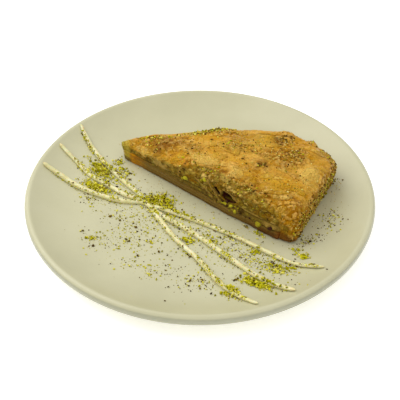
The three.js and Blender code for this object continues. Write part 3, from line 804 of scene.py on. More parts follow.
def paintCrust(points, marks):
    x, z, front = points[:, 0], points[:, 2], beyondFront(points)
    bend = towardsRoll(points) + 2.2 * roughNoise(points, 4, 465, 2)
    strip = marks.wrap * smoothStep(63, 58, bend) * smoothStep(-6, -4, front) * smoothStep(25, 21, z)
    shown = np.maximum(np.maximum(marks.cut, marks.ripped * 0.92), 0.85 * strip)  # the sheets' edges show
    tones = paintCrustTop(points, marks)
    tones += (paintCrustCut(points, marks) - tones) * shown[:, None]
    foot = smoothStep(15.5, 13, z + 1.4 * roughNoise(points, 4, 463) + 0.4 * np.maximum(x - 57, 0))
    foot *= smoothStep(46, 50, x) * smoothStep(67, 62, x)
    lit = smoothStep(24.6, 22.4, z + 1.2 * roughNoise(points, 3, 256, 2)) * smoothStep(-8, -3, front)
    # painted shade: the hollow's inside is painted dark, and its lower front part lighter as painted light
    return coated(tones, baked, (smoothStep(-48.5, -53, x) * 0.8, "tipGreen"), (foot * 0.85, "base"),
                  (marks.hollow, "hollow"), (marks.hollow * lit * 0.8, "hollowLit"))


def makeCrust():
    mesh, points, outward = copyOfNode("top_sheets", crust)
    marks = markCrust(points, outward)
    shapeCrust(points, outward, marks)
    writePoints(mesh, points)
    writeColours(mesh, paintCrust(points, marks))
    material = pastryMaterial("bakedCrust", (0.34, 0.58), 1000, coat=0, shine=0.14, scatter=0.1,
                              contrast=0.26)
    return addPiece("crustSheets", mesh, material, "baked_crust", "top_sheets")


crustPiece = makeCrust()
print("the crust is made")


def surfaceTree(*pieces):
    points, faces = [], []
    for piece in pieces:
        mesh = piece.data
        mesh.calc_loop_triangles()
        corners = np.empty(len(mesh.loop_triangles) * 3, dtype=np.int32)
        mesh.loop_triangles.foreach_get("vertices", corners)
        faces += (corners.reshape(-1, 3) + len(points)).tolist()
        points += readPoints(mesh).tolist()
    return BVHTree.FromPolygons(points, faces, all_triangles=True)


# loose flakes of the top sheet
flake = {"segments": 24, "rings": 4, "thickness": 0.11, "rise": 0.04, "curl": 0.35, "ownTone": 0.3,
         "loose": 80, "area": ((-52, 94), (-44, 52)), "lowest": 17, "flattest": 0.75, "bareCorner": (62, 26),
         "turn": (-28, 30), "sizes": (1.6, 8), "slim": (0.35, 0.7), "hanging": 60, "hangingSizes": (1.4, 4.4),
         "fold": (1.1, 0.3, 0.75)}
placedFlakes = [  # middle, half sizes, turn, colour
    (3, 13, 15, 8, -36, "pale"), (-42, 43, 12, 5, -38, "amber"), (40, 30, 20, 8, -10, "gold"),
    (73, -9, 10, 8, 60, "pale"), (20, 22, 14, 7, -30, "gold"), (50, -20, 12, 8, -20, "gold")]
crispTones = ["gold", "amber", "amber", "brown"]
crumbTones = ["cutGreen", "cutGreen", "gold", "brown", "cutPale", "crumb"]
sideFlakes = [  # corner, how far each way, how many, lowest, highest, directions they face, sizes, colours
    ((60.5, -44), 8.5, 90, 15.5, 31, (-130, -40), (1, 2.6), crispTones),
    ((80, -14), 30, 26, 20, 31, (-40, -15), (1.4, 4), crispTones),
    ((92, 26), 12, 14, 12, 26, (-20, 60), (1.4, 4), crispTones),
    ((66, 42), 12, 12, 12, 27, (60, 95), (1.4, 4), crispTones),
    ((20, 50), 30, 18, 12, 26, (80, 100), (1.4, 4), ["cutGreen", "gold", "amber", "cutGrey"]),
    ((-57, 48), 3, 20, 12, 20, (150, 250), (1.4, 3.4), ["tipGreen", "tipGreen", "pale"]),
    ((14, -11), 22, 60, 25, 33, (-135, -120), (0.8, 2.2), crumbTones),
    ((42, -32), 16, 60, 24, 32, (-135, -120), (0.8, 2.2), crumbTones),
    ((-28, 23), 26, 26, 18, 27, (-135, -120), (0.8, 2), crumbTones)]
crustTree = surfaceTree(crustPiece)
crustCorners = [t.vertices[0] for t in crustPiece.data.loop_triangles]
crustTones = [v.color[:3] for v in crustPiece.data.attributes["bakedColour"].data]


def flakeDisc():
    bm = bmesh.new()
    spoke = [bm.verts.new((i / flake["rings"], 0, 0)) for i in range(flake["rings"] + 1)]
    spin(bm, spoke, flake["segments"], 0.001)
    return meshFromBmesh("flakeDisc", bm, 1)


def tornOutline(pick):  # how far a flake reaches each way: straight breaks between a few corners
    count = pick.randint(5, 8)
    angles = [(i + pick.uniform(-0.32, 0.32)) * 2 * math.pi / count for i in range(count)]
    corners = [Vector((math.cos(a), math.sin(a))) * pick.uniform(0.65, 1.2) for a in angles]
    reach = [1] * flake["segments"]
    for step in range(flake["segments"]):
        angle = 2 * math.pi * step / flake["segments"]
        toward = Vector((math.cos(angle), math.sin(angle)))
        for corner, following in zip(corners, corners[1:] + corners[:1]):
            side = following - corner
            across = toward.cross(side)
            if across > 1e-6 and 0 <= corner.cross(toward) / across <= 1 and corner.cross(side) > 0:
                reach[step] = corner.cross(side) / across
    return reach


def flakeTone(face, tone, shade=1):  # mostly the crust's own colour below it
    under = crustTones[crustCorners[face]]
    return (*[(u + (c - u) * flake["ownTone"]) * shade for u, c in zip(under, tone)], 1)


def layFlake(bm, disc, pick, place, aim, longAxis, halfLong, halfWide, tone):
    hit, normal, face, far = crustTree.ray_cast(place - aim * 30, aim)
    if hit is None:
        return
    wideAxis = aim.cross(longAxis).normalized()
    longAxis = wideAxis.cross(aim)
    segments, rings, rise = flake["segments"], flake["rings"], flake["rise"]
    first = len(bm.verts)
    bm.from_mesh(disc)
    bm.verts.ensure_lookup_table()
    layer = bm.verts.layers.float_color["bakedColour"]
    spokes = {}
    for vert in bm.verts[first:]:
        ring = round(vert.co.length * rings)
        around = round(math.atan2(vert.co.y, vert.co.x) / (2 * math.pi) * segments) % segments
        spokes.setdefault(around if ring else -1, {})[ring] = vert
    middle = hit - aim * rise
    centre = spokes.pop(-1)[0]
    centre.co = middle
    centre[layer] = flakeTone(face, tone)
    outline = tornOutline(pick)
    lift = pick.uniform(0, 6.28)
    for around, ringVerts in spokes.items():
        angle = 2 * math.pi * around / segments
        raised = flake["curl"] * (0.5 + 0.5 * math.cos(angle - lift)) ** 2
        spoke = longAxis * halfLong * math.cos(angle) + wideAxis * halfWide * math.sin(angle)
        last = middle
        for ring in range(1, rings + 1):
            flat = hit + spoke * (ring / rings * outline[around])
            away = flat - last
            away -= aim * away.dot(aim)
            below, normal, nextFace, far = crustTree.ray_cast(flat - aim * 30, aim)
            if below is not None and (below - last).dot(aim) < rise + 1.5 * away.length + 0.5:
                last = below - aim * (rise + raised * (ring / rings) ** 3)
                face = nextFace
            else:  # past the crust's edge the flake folds down
                longest, out, inwards = flake["fold"]
                step = min(away.length, longest)
                last = last + away.normalized() * step * out + aim * step * inwards
            last.z = min(max(last.z, plateShape["wellHeight"] + 0.3), crust["ceiling"] - 0.3)
            ringVerts[ring].co = last
            ringVerts[ring][layer] = flakeTone(face, tone, pick.uniform(0.92, 1.08))


def turned(degrees):
    return Vector((math.cos(math.radians(degrees)), math.sin(math.radians(degrees)), 0))


def makeFlakes():
    pick = random.Random(31)
    disc = flakeDisc()
    bm = bmesh.new()
    bm.verts.layers.float_color.new("bakedColour")
    for x, y, halfLong, halfWide, turn, name in placedFlakes:
        layFlake(bm, disc, pick, Vector((x, y, 30)), down, turned(turn), halfLong, halfWide, baked[name])
    laid = 0
    while laid < flake["loose"]:
        x, y = (pick.uniform(*limits) for limits in flake["area"])
        hit, normal, face, far = crustTree.ray_cast(Vector((x, y, 60)), down)
        inCorner = x > flake["bareCorner"][0] and y > flake["bareCorner"][1]
        if hit is None or hit.z < flake["lowest"] or normal.z < flake["flattest"] or inCorner:
            continue
        laid += 1
        size = pick.uniform(*flake["sizes"])
        layFlake(bm, disc, pick, hit, down, turned(pick.gauss(*flake["turn"])), size,
                 size * pick.uniform(*flake["slim"]), baked[pick.choice(["gold", "gold", "pale", "amber"])])
    a, b, c = (Vector(p) for p in wedge["frontLine"])
    for i in range(flake["hanging"]):  # over the front edge, on either side of the hollow
        share = pick.choice([pick.uniform(0.02, 0.5), pick.uniform(1.1, 1.36)])
        edge = a.lerp(b, share) if share < 1 else b.lerp(c, (share - 1) * 2)
        inward = pick.uniform(0.5, 3)
        size = pick.uniform(*flake["hangingSizes"])
        place = Vector((edge.x + 0.64 * inward, edge.y + 0.76 * inward, 30))
        layFlake(bm, disc, pick, place, down, turned(-38 + pick.gauss(0, 25)), size,
                 size * pick.uniform(*flake["slim"]),
                 baked[pick.choice(["gold", "amber", "cutGreen", "brown"])])
    for corner, radius, count, low, high, spread, sizes, names in sideFlakes:
        for i in range(count):
            aim = -turned(pick.uniform(*spread))
            size = pick.uniform(*sizes)
            place = Vector((*corner, pick.uniform(low, high)))
            place += aim.cross(down) * pick.uniform(-radius, radius)
            slanted = (aim + down * pick.uniform(0, 0.5)).normalized()
            layFlake(bm, disc, pick, place, slanted, Vector((0.3, 0.2, 1)), size,
                     size * pick.uniform(0.5, 0.8), baked[pick.choice(names)])
    bmesh.ops.recalc_face_normals(bm, faces=bm.faces)
    bmesh.ops.solidify(bm, geom=bm.faces, thickness=flake["thickness"])
    material = pastryMaterial("crustFlakes", (0.3, 0.52), 1100, coat=0, shine=0.16, scatter=0.15,
                              contrast=0.42)
    return addPiece("crustFlakes", meshFromBmesh("crustFlakes", bm), material, "baked_crust", "top_sheets")


flakesPiece = makeFlakes()
print("the flakes are laid")

# soaked lower sheets
soaked = {"voxel": 0.5, "smoothing": 3, "tipOut": 0.7, "spread": 1.2, "ragged": 0.5, "rim": (0.5, 0.9),
          "toRoll": (1.3, -1.0)}
soakedTones = palette(brown=(128, 100, 38), dark=(92, 68, 20), pale=(150, 120, 54), amber=(212, 142, 0),
                      base=(124, 74, 24), foot=(96, 60, 26), rollFoot=(164, 96, 36), tipGreen=(192, 172, 64))


def makeSoakedSheets():
    mesh, points, outward = copyOfNode("bottom_sheets", soaked)
    side = facesSideways(outward)
    edges, sheetTone, crown = sheetEdges(points, 501)
    flush = smoothStep(-42, -50, points[:, 0]) * soaked["tipOut"]
    points += outward * (edges * side * soaked["ragged"] + flush * side)[:, None]
    rim = smoothStep(0.1, 0.5, outward[:, 2]) * smoothStep(56, 40, alongCut(points))
    aside, up = soaked["rim"]  # closes the seam near the tip
    points[:, 2] += up * rim
    points[:, :2] += outward[:, :2] * aside * rim[:, None]
    spread = side * smoothStep(-6, -3, beyondFront(points)) * smoothStep(15, 9, points[:, 2])
    spread = spread * soaked["spread"] * smoothStep(30, 48, points[:, 0])
    points[:, :2] += outward[:, :2] * spread[:, None]
    points[:, :2] += smoothStep(52, 56.5, points[:, 0])[:, None] * soaked["toRoll"]  # closes the seam there
    points[:, 2] = np.maximum(points[:, 2], bottom)
    writePoints(mesh, points)
    x, height = points[:, 0], points[:, 2] - plateShape["wellHeight"]
    red = smoothStep(24, 44, x) * smoothStep(5.6, 3.4, height + 1.2 * roughNoise(points, 5, 531))
    # painted shade: darker in the grooves between the sheets, near the plate and at the bottom of the tip;
    # along the bottom edge the red-brown is partly syrup and partly painted shade
    writeColours(mesh, coated(
        plain(points, soakedTones["brown"]), soakedTones, (smoothStep(0.5, 1, sheetTone) * 0.7, "pale"),
        (smoothStep(0.7, 0.1, crown) * 0.2, "dark"), (smoothStep(4, 0.5, height) * 0.7, "dark"),
        (smoothStep(1.6, 0.3, height) * 0.6, "base"), (smoothStep(-36, -50, x) * 0.8, "amber"),
        (smoothStep(-38, -46, x) * 0.3 * mottle(points, 4, 521, -0.3, 0.3), "base"),
        (smoothStep(-49.5, -52, x) * 0.9, "tipGreen"),
        (smoothStep(-48.5, -51, x) * smoothStep(5.5, 2.5, height) * 0.8, "dark"),
        (red * 0.85, "foot"), (smoothStep(48, 55, x) * 0.85, "rollFoot")))
    material = pastryMaterial("soakedSheets", (0.3, 0.5), 800, coat=0.04, shine=0.12, scatter=0.1,
                              contrast=0.3)
    return addPiece("soakedSheets", mesh, material, "soaked_sheets", "bottom_sheets")


# nut filling
filling = {"voxel": 0.5, "smoothing": 2, "proud": 0.55, "lumps": (0.35, 0.22)}
nutTones = palette(olive=(126, 102, 36), green=(160, 142, 32), bright=(206, 196, 46), dull=(182, 168, 38),
                   dark=(72, 48, 18), skin=(64, 32, 32), cutPale=(170, 138, 62))


def makeFilling():
    mesh, points, outward = copyOfNode("pistachio_filling", filling)
    large, small = filling["lumps"]
    lumps = large * softNoise(points, 2.6, 601) + small * softNoise(points, 1.2, 602)
    points += outward * ((lumps + filling["proud"]) * facesSideways(outward))[:, None]
    writePoints(mesh, points)
    x = points[:, 0]
    bits = softNoise(points, (2.4, 2.4, 1.7), 611)
    rich = smoothStep(-0.2, 0.3, roughNoise(points, 9, 613) + smoothStep(2, 20, x) * 0.4 - 0.1)
    ragged = x + 2 * roughNoise(points, 6, 614)  # the sheets close over the nuts towards both ends
    rich = (0.15 + 0.85 * rich) * (0.2 + 0.8 * smoothStep(-6, 14, x))
    rich *= 1 - 0.85 * smoothStep(26, 31, ragged)
    skins = smoothStep(0.5, 0.75, softNoise(points, 2.8, 612))
    writeColours(mesh, coated(
        plain(points, nutTones["olive"]), nutTones, (smoothStep(0.1, 0.4, bits) * rich, "green"),
        (smoothStep(0.45, 0.7, bits) * rich, "bright"), (smoothStep(-0.1, -0.45, bits) * rich, "dark"),
        (skins * rich, "skin"), (smoothStep(39, 44, ragged) * 0.75, "cutPale")))
    material = pastryMaterial("nutFilling", (0.4, 0.6), 900, coat=0.02, shine=0.12, scatter=0.05,
                              contrast=0.3)
    return addPiece("nutFilling", mesh, material, "pistachio", "pistachio_filling")


soakedPiece = makeSoakedSheets()
fillingPiece = makeFilling()

nut = {"start": 12, "reach": 30, "sink": 0.25, "squash": ((0.85, 1.25), (0.75, 1), (0.65, 0.9)),
       "rough": (0.88, 1.1), "shades": (0.8, 1.15)}
nuts = [  # those that show in the cut side: place, radius, colour
    (-9.9, 7.4, 20.6, 2.1, "bright"), (3.2, -3.4, 28.2, 2.4, "bright"), (-12, 8.8, 19, 1.6, "green"),
    (1, -1.8, 26.4, 1.5, "green"), (5.6, -4.6, 27.4, 1.3, "green"), (21.2, -18.3, 17.6, 1.6, "bright"),
    (23.8, -20.3, 14.4, 1.9, "bright"), (38.4, -31.3, 13.2, 3.1, "dull"), (46.7, -36.7, 15, 2.1, "skin"),
    (15.5, -13.5, 18.2, 1.3, "dark"), (18.6, -16, 16, 1.3, "dark"), (27.5, -23, 15.8, 1.1, "dark"),
    (30.5, -25.5, 13.6, 1.2, "dark"), (33.6, -27.6, 15, 1, "skin"), (12, -11, 16.6, 1, "dark"),
    (8, -7.4, 15.6, 1, "dark"), (17.2, -14.4, 14.2, 1.1, "green"), (20.6, -17.4, 12.8, 1, "green"),
    (26, -21.6, 18.4, 1, "green"), (18.8, -15.8, 19, 1.2, "skin"), (34.5, -29.4, 24.5, 1, "green"),
    (37.5, -31, 26.2, 1.2, "green"), (29.5, -25.2, 27.5, 0.9, "green"), (-14, 10, 24.5, 0.8, "dark"),
    (-11, 8, 27.2, 0.8, "dark"), (1, -1.5, 24, 0.8, "green"), (44.5, -35.5, 20.5, 0.8, "dark")]


def makeNuts():
    pick = random.Random(41)
    tree = surfaceTree(crustPiece, flakesPiece, soakedPiece, fillingPiece)
    bm = bmesh.new()
    layer = bm.verts.layers.float_color.new("bakedColour")
    inward = Vector((0.62, 0.785, 0))
    for x, y, z, radius, name in nuts:
        origin = Vector((x, y, z)) - inward * nut["start"]
        hit, normal, face, far = tree.ray_cast(origin, inward, nut["reach"])
        if hit is None:
            continue
        centre = hit + inward * radius * nut["sink"]
        angle = pick.uniform(0, 6.28)
        turn = Matrix.Rotation(angle, 4, Vector((pick.gauss(0, 1), pick.gauss(0, 1), 1)).normalized())
        shape = Matrix.Diagonal((*(pick.uniform(*limits) for limits in nut["squash"]), 1))
        made = bmesh.ops.create_icosphere(bm, subdivisions=2, radius=radius,
                                          matrix=Matrix.Translation(centre) @ turn @ shape)
        for vert in made["verts"]:
            vert.co = centre + (vert.co - centre) * pick.uniform(*nut["rough"])
            shade = pick.uniform(*nut["shades"])
            vert[layer] = (*[c * shade for c in nutTones[name]], 1)
    material = pastryMaterial("nutPieces", (0.35, 0.55), 1200, coat=0.02, shine=0.15, scatter=0.08,
                              contrast=0.25)
    return addPiece("nutPieces", meshFromBmesh("nutPieces", bm), material, "pistachio", "pistachio_filling")


peeling = {"strips": 4, "wave": 0.25, "sag": -0.12, "drift": (0.02, -0.02), "thickness": 0.4}
peeled = [  # the edges of sheets that have lifted beside the gap: route, how far out, how far in, colour
    ([(-4, 2.4, 27), (1.3, -2.5, 25), (6.3, -7.1, 21.6), (11, -10.6, 14.4)], 0.6, 2.2, "cutPale"),
    ([(4.6, -5, 29), (8.2, -8.3, 25.5), (11.6, -11, 21), (14.6, -13.3, 16)], 0.6, 2.2, "cutPale"),
    ([(23.4, -19.6, 27), (24.6, -20.8, 22.6), (32.1, -26.7, 19.6), (42, -33.6, 20.2)], 0.7, 2, "cutPale"),
    ([(14, -12.4, 20.2), (17, -15, 21.4), (20, -17.4, 20.6), (22, -19.2, 21)], -2, 4, "cutDark"),
    ([(15.2, -13, 28.6), (19, -16, 28.2), (22, -18.6, 26.6), (24.6, -20.4, 23.6)], 0.5, 2, "cutPale")]


def routeLine(route):
    data = bpy.data.curves.new("peeledRoute", "CURVE")
    data.dimensions = "3D"
    spline = data.splines.new("NURBS")
    spline.points.add(len(route) - 1)
    for point, place in zip(spline.points, route):
        point.co = (*place, 1)
    spline.use_endpoint_u = True
    spline.order_u = 4
    spline.resolution_u = 14
    return [v.co.copy() for v in finishedMesh(data).vertices]


def makePeeledSheets():
    pick = random.Random(51)
    bm = bmesh.new()
    layer = bm.verts.layers.float_color.new("bakedColour")
    outward = Vector((-0.63, -0.775, 0))
    drift, sag = Vector((*peeling["drift"], 0)), Vector((0, 0, peeling["sag"]))
    for route, out, into, name in peeled:
        first = len(bm.verts)
        inner = [bm.verts.new(p - outward * into) for p in routeLine(route)]
        rail = [bm.edges.new(pair) for pair in zip(inner, inner[1:])]
        for i in range(peeling["strips"]):  # each extrusion widens the strip outwards
            made = bmesh.ops.extrude_edge_only(bm, edges=rail)["geom"]
            moved = [g for g in made if isinstance(g, bmesh.types.BMVert)]
            rail = [g for g in made if isinstance(g, bmesh.types.BMEdge) and all(v in moved for v in g.verts)]
            for vert in moved:
                wave = peeling["wave"] * math.sin(vert.co.z * 1.7 + i) if i == peeling["strips"] - 1 else 0
                vert.co += outward * ((into + out) / peeling["strips"] + wave) + sag * i + drift * i
        bm.verts.ensure_lookup_table()
        for vert in bm.verts[first:]:
            shade = pick.uniform(0.85, 1.1)
            vert[layer] = (*[c * shade for c in baked[name]], 1)
    bmesh.ops.recalc_face_normals(bm, faces=bm.faces)
    bmesh.ops.solidify(bm, geom=bm.faces, thickness=peeling["thickness"])
    material = pastryMaterial("peeledSheets", (0.3, 0.5), 900, coat=0, shine=0.14, scatter=0.15,
                              contrast=0.25)
    mesh = meshFromBmesh("peeledSheets", bm)
    return addPiece("peeledSheets", mesh, material, "soaked_sheets", "top_sheets")


makeNuts()
makePeeledSheets()
print("the lower sheets, the filling and its nuts are made")

# scattered pistachio
kinds = ("green", "skin", "pale", "toast")
grains = {kind: [] for kind in kinds}
grainSize = {"green": (0.26, 1.25), "skin": (0.22, 1.0), "pale": (0.24, 0.9), "toast": (0.2, 0.55)}
endCoat = {"counts": (170, 460, 330, 1150), "span": (0.02, 1.02), "low": 1, "tall": 20, "start": 7,
           "reach": 16, "outside": 4, "finer": 0.8, "sink": 0.3}
plateScatter = [  # middle, half sizes, turn, green, skin, pale and toasted grains, how high they pile
    (-71, 31, 11, 5, -50, 460, 90, 100, 20, 1.4), (-73, 12.5, 13, 3.8, -36, 360, 70, 80, 10, 1.2),
    (-28.5, -2.2, 10, 7, -24, 620, 170, 150, 60, 2.4), (36.5, -82.3, 11, 3.6, -34, 380, 80, 80, 0, 1.4),
    (19.5, -89.5, 4.5, 6.5, -45, 170, 40, 40, 0, 0.9), (-8, -42, 5, 2.8, -10, 90, 16, 20, 0, 0.8),
    (50, -68, 11, 5, -20, 190, 60, 40, 0, 0.7), (66.8, -57.6, 4.5, 3.4, -20, 70, 14, 16, 0, 0.7),
    (63.6, -50.6, 3.4, 1.8, 0, 36, 6, 6, 0, 0.5), (-71.6, -39.2, 3.6, 1.8, 10, 34, 6, 8, 0, 0.5),
    (-48.2, -42, 3.2, 1.6, 0, 20, 4, 4, 0, 0.4), (-32.9, -43, 3.2, 1.8, 0, 18, 6, 4, 0, 0.4),
    (-56, 28, 8, 6, -45, 90, 30, 24, 0, 0.5), (-59, 41, 4, 4, 0, 40, 10, 10, 0, 0.5),
    (17.6, -58, 2.2, 1.8, 0, 24, 4, 4, 0, 0.5), (37.4, -52.4, 3.4, 1.8, -20, 30, 14, 6, 0, 0.5),
    (8.1, -41, 7, 5, -30, 50, 30, 12, 0, 0.4), (-14, -17, 9, 4, -35, 90, 20, 20, 0, 0.5)]
plateStrays = [
    (70, -42, 9, 5, 25, 40, 110, 10, 16, 0.5), (93, -20, 4, 3, 0, 14, 4, 3, 0, 0.3),
    (88, -24, 9, 15, -25, 40, 90, 8, 0, 0.3), (-60, 20, 22, 12, -40, 160, 70, 50, 0, 0.4),
    (-76, 0, 14, 6, -20, 50, 40, 10, 0, 0.3), (-30, -72, 11, 7, 0, 40, 24, 6, 0, 0.4),
    (-8, -80, 9, 8, 0, 24, 30, 4, 0, 0.3), (4, -82, 8, 9, 0, 26, 30, 6, 0, 0.3),
    (-50, -40, 26, 14, 0, 100, 40, 20, 0, 0.3), (-40, -20, 30, 20, -30, 290, 110, 60, 0, 0.3),
    (20, -52, 42, 18, -38, 340, 180, 80, 0, 0.3), (0, -40, 80, 46, -20, 120, 80, 30, 0, 0.3),
    (31, -28.4, 2.4, 1.1, -38, 6, 24, 8, 70, 0.6), (39.6, -35.6, 4.4, 1.4, -38, 70, 20, 30, 40, 0.9),
    (-20, -21, 10, 6, -40, 90, 30, 20, 0, 0.4), (32, -58, 12, 6, -30, 90, 60, 20, 0, 0.3),
    (-67, -40, 13, 9, 0, 46, 22, 20, 0, 0.3), (-41, -65, 19, 7, -10, 46, 22, 16, 0, 0.3),
    (-17, -67, 8, 8, 0, 8, 22, 4, 0, 0.3), (-36, -50, 24, 9, -8, 36, 20, 20, 0, 0.3),
    (-60, -17, 11, 5, 0, 16, 10, 6, 0, 0.3), (-3, -77, 7, 9, 0, 18, 12, 6, 0, 0.3)]
crustScatter = [
    (2, 45, 17, 3.6, -4, 130, 90, 60, 60, 0.6), (14, 47, 10, 3, 0, 70, 70, 30, 30, 0.5),
    (-30, 46, 14, 3, -6, 50, 20, 30, 40, 0.4), (64, 14, 12, 9, -20, 20, 60, 60, 320, 0.4),
    (36, 23, 17, 9, 0, 10, 36, 50, 300, 0.4), (-36, 42, 13, 5, -20, 10, 14, 14, 70, 0.4),
    (43, 2, 4, 2.2, -20, 2, 26, 6, 30, 0.4), (60, 31, 7, 5, 0, 10, 60, 20, 60, 0.4),
    (30, -17, 24, 3.6, -38, 24, 40, 50, 80, 0.5), (0, 6, 18, 3.4, -40, 30, 20, 20, 80, 0.4),
    (62, -22, 12, 10, 0, 6, 10, 24, 240, 0.3), (20, 10, 60, 30, -20, 10, 30, 110, 900, 0.3),
    (90, 20, 5, 11, 20, 34, 90, 50, 80, 0.5), (60, 0, 34, 24, 0, 10, 14, 60, 420, 0.3),
    (24, 24, 10, 4, -10, 14, 20, 10, 40, 0.3), (-28, 37, 5, 8, -20, 4, 24, 4, 60, 0.3),
    (-4, 27, 14, 7, -30, 2, 30, 20, 160, 0.3), (78, 36, 9, 5, -20, 20, 50, 20, 50, 0.4)]
strokeDust = [  # which stroke, from and to along it, how far aside, spread, green and skin grains
    (0, 0.3, 2.4, -1.9, 0.5, 120, 60), (0, 1.6, 4, 0, 0.9, 60, 16), (0, 6.9, 8.6, -0.8, 1, 110, 30),
    (0, 8.6, 9.5, -1, 1.3, 60, 16), (0, 4, 7, -1.9, 0.5, 60, 24), (1, 0.9, 3.2, 0, 1.6, 170, 40),
    (1, 3.4, 5, 1.2, 1.2, 60, 10), (1, 5.5, 9, -1.9, 0.5, 90, 30), (1, 8.3, 8.7, -0.6, 0.8, 36, 4),
    (1, 9.4, 10.8, -1.9, 0.7, 90, 24), (2, 4.4, 6.2, 0.8, 1.3, 120, 20), (2, 0.5, 4, -1.9, 0.5, 90, 30),
    (2, 6.2, 8.8, 0, 1.3, 130, 34), (2, 8.6, 11.4, -1.9, 0.6, 90, 40), (2, 11.3, 11.8, 0, 0.9, 20, 8)]
largeCrumbs = [
    (22.9, -77.7), (24, -77), (21.6, -78.4), (1.4, -77.7), (-6.2, -78.6), (0.1, -85.7), (7, -90.6),
    (-78.2, -32.5), (-70.2, -47), (-40.2, -56.1), (-26.7, -52.4), (-36, -9), (-61, -18), (-54, -22),
    (-43, -29), (66, -38), (73, -43), (78, -36), (-57, 23), (-50, 21)]
heap = {"cell": 0.8, "farthest": 112, "steepest": 0.35, "stack": 1.1, "sink": 0.45, "spread": 0.52,
        "thickPile": 0.6, "skinShare": 0.65, "handful": 60, "rough": (0.72, 1.2),
        "squash": ((0.8, 1.6), (0.6, 1), (0.45, 0.8))}
tall = {}  # how high the grains already reach in each small square
ground = surfaceTree(dish, drizzle, crustPiece, flakesPiece)


def grainRadius(pick, kind, power, finer):  # small ones are commoner
    small, large = grainSize[kind]
    return (small + (large - small) * pick.uniform(0, 1) ** power) * finer


def dropGrain(pick, kind, x, y, pile, finer):
    hit, normal, face, far = ground.ray_cast(Vector((x, y, 60)), down)
    if hit is None or normal.z < heap["steepest"] or math.hypot(x, y) > heap["farthest"]:
        return
    radius = grainRadius(pick, kind, 2.6, finer)
    cell = (round(x / heap["cell"]), round(y / heap["cell"]))
    base = max(hit.z, tall.get(cell, 0))
    if base > hit.z + pile or base + radius * 1.5 > crust["ceiling"]:
        return
    tall[cell] = base + radius * heap["stack"]
    grains[kind].append((Vector((x, y, base + radius * heap["sink"])), radius))


def scatter(areas, seed, finer):
    pick = random.Random(seed)
    for x, y, halfLong, halfWide, turn, *counts, pile in areas:
        angle = math.radians(turn)
        for kind, count in zip(kinds, counts):
            share = heap["skinShare"] if kind == "skin" and pile > heap["thickPile"] else 1
            for i in range(int(count * share)):
                along = pick.gauss(0, heap["spread"]) * halfLong
                across = pick.gauss(0, heap["spread"]) * halfWide
                px = x + along * math.cos(angle) - across * math.sin(angle)
                py = y + along * math.sin(angle) + across * math.cos(angle)
                dropGrain(pick, kind, px, py, pile, finer)


def dustStrokes(seed, pile=0.8, finer=0.75):
    pick = random.Random(seed)
    for number, first, last, aside, spread, green, skin in strokeDust:
        route = [Vector(place) for place in cream["strokes"][number]["route"]]
        for kind, count in zip(kinds, (green, skin, green // 4)):
            for i in range(count):
                share = pick.uniform(first, last)
                start, end = route[int(share)], route[int(share) + 1]
                away = (end - start).normalized().orthogonal() * pick.gauss(aside, spread)
                place = start.lerp(end, share % 1) + away
                dropGrain(pick, kind, place.x, place.y, pile, finer)


def coatEnd(seed):
    pick = random.Random(seed)
    start, end = Vector(wedge["endLine"][0]), Vector(wedge["endLine"][1])
    along = (end - start).normalized()
    inward = Vector((-along.y, along.x, 0))
    for kind, count in zip(kinds, endCoat["counts"]):
        for i in range(count):
            place = start + along * (end - start).length * pick.uniform(*endCoat["span"])
            height = plateShape["wellHeight"] + endCoat["low"] + endCoat["tall"] * pick.uniform(0, 1)
            origin = Vector((place.x, place.y, height)) - inward * endCoat["start"]
            hit, normal, face, far = ground.ray_cast(origin, inward, endCoat["reach"])
            if hit is None or beyondLine(np.array([hit]), *wedge["endLine"]) > endCoat["outside"]:
                continue
            radius = grainRadius(pick, kind, 2, endCoat["finer"])
            grains[kind].append((hit + normal * radius * endCoat["sink"], radius))


def grainMaterial(name, rough, stops):
    material, tree, shader = newMaterial(name, roughness=rough, specular=0.1, tint=(1, 0.9, 0.3, 1))
    tint = ramp(tree, attribute(tree, "grainTone").outputs["Fac"], [(at, colour(*rgb)) for at, rgb in stops])
    speck = noiseNode(tree, 1400, 3, 0.6)
    shade = ramp(tree, speck.outputs["Fac"], [(0.3, 0.7), (0.6, 1.1)])
    multiplied(tree, tint, shade, shader.inputs["Base Color"])
    addBump(tree, shader, [speck], 0.4, 0.15)
    return material


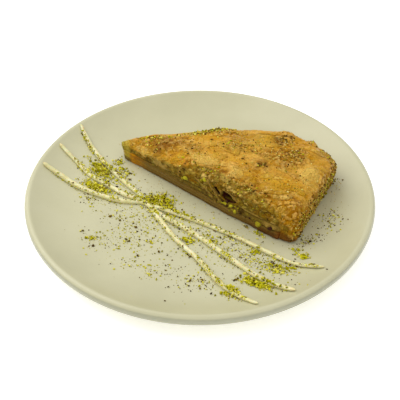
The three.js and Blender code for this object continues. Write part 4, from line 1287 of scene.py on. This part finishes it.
def makeGrains(name, kind, slotName, seed, rough, stops):
    pick = random.Random(seed)
    places = grains[kind]
    whole = bmesh.new()
    whole.verts.layers.float.new("grainTone")
    for first in range(0, len(places), heap["handful"]):  # much quicker than all at once
        bm = bmesh.new()
        layer = bm.verts.layers.float.new("grainTone")
        for place, radius in places[first:first + heap["handful"]]:
            axis = Vector((pick.gauss(0, 1), pick.gauss(0, 1), pick.gauss(0, 1))).normalized()
            turn = Matrix.Rotation(pick.uniform(0, 6.28), 4, axis)
            squash = Matrix.Diagonal((*(pick.uniform(*limits) for limits in heap["squash"]), 1))
            made = bmesh.ops.create_icosphere(bm, subdivisions=1, radius=radius,
                                              matrix=Matrix.Translation(place) @ turn @ squash)
            tone = pick.uniform(0, 1)
            for vert in made["verts"]:
                vert.co = place + (vert.co - place) * pick.uniform(*heap["rough"])
                vert[layer] = tone
        handful = meshFromBmesh(name + "Handful", bm, 1)
        whole.from_mesh(handful)
        bpy.data.meshes.remove(handful)
    mesh = meshFromBmesh(name, whole)
    material = grainMaterial(name, rough, stops)
    return addPiece(name, mesh, material, slotName, "plate", "top_sheets", smooth=False)


for place in darkSpecks:
    grains["skin"].append((crustTree.find_nearest(Vector(place))[0], 0.95))
for x, y in largeCrumbs:
    grains["skin"].append((Vector((x, y, plateTop(x, y) + 0.4)), 1.05))
dustStrokes(14)
scatter(plateScatter, 11, 0.95)
scatter(plateStrays, 15, 0.66)
scatter(crustScatter, 12, 0.75)
coatEnd(13)
makeGrains("pistachioGreen", "green", "pistachio", 21, 0.6, [
    (0, (146, 138, 2)), (0.35, (194, 187, 12)), (0.7, (228, 219, 46)), (1, (250, 241, 112))])
makeGrains("pistachioSkin", "skin", "pistachio", 22, 0.55, [
    (0, (60, 40, 16)), (0.4, (92, 68, 22)), (0.75, (118, 92, 24)), (1, (142, 116, 30))])
makeGrains("pistachioPale", "pale", "pistachio", 23, 0.6, [
    (0, (196, 178, 66)), (0.5, (222, 206, 96)), (1, (242, 232, 150))])
makeGrains("toastedCrumbs", "toast", "baked_crust", 24, 0.55, [
    (0, (112, 66, 10)), (0.4, (160, 108, 20)), (0.7, (206, 158, 44)), (1, (236, 202, 104))])
print("the pistachio is scattered")
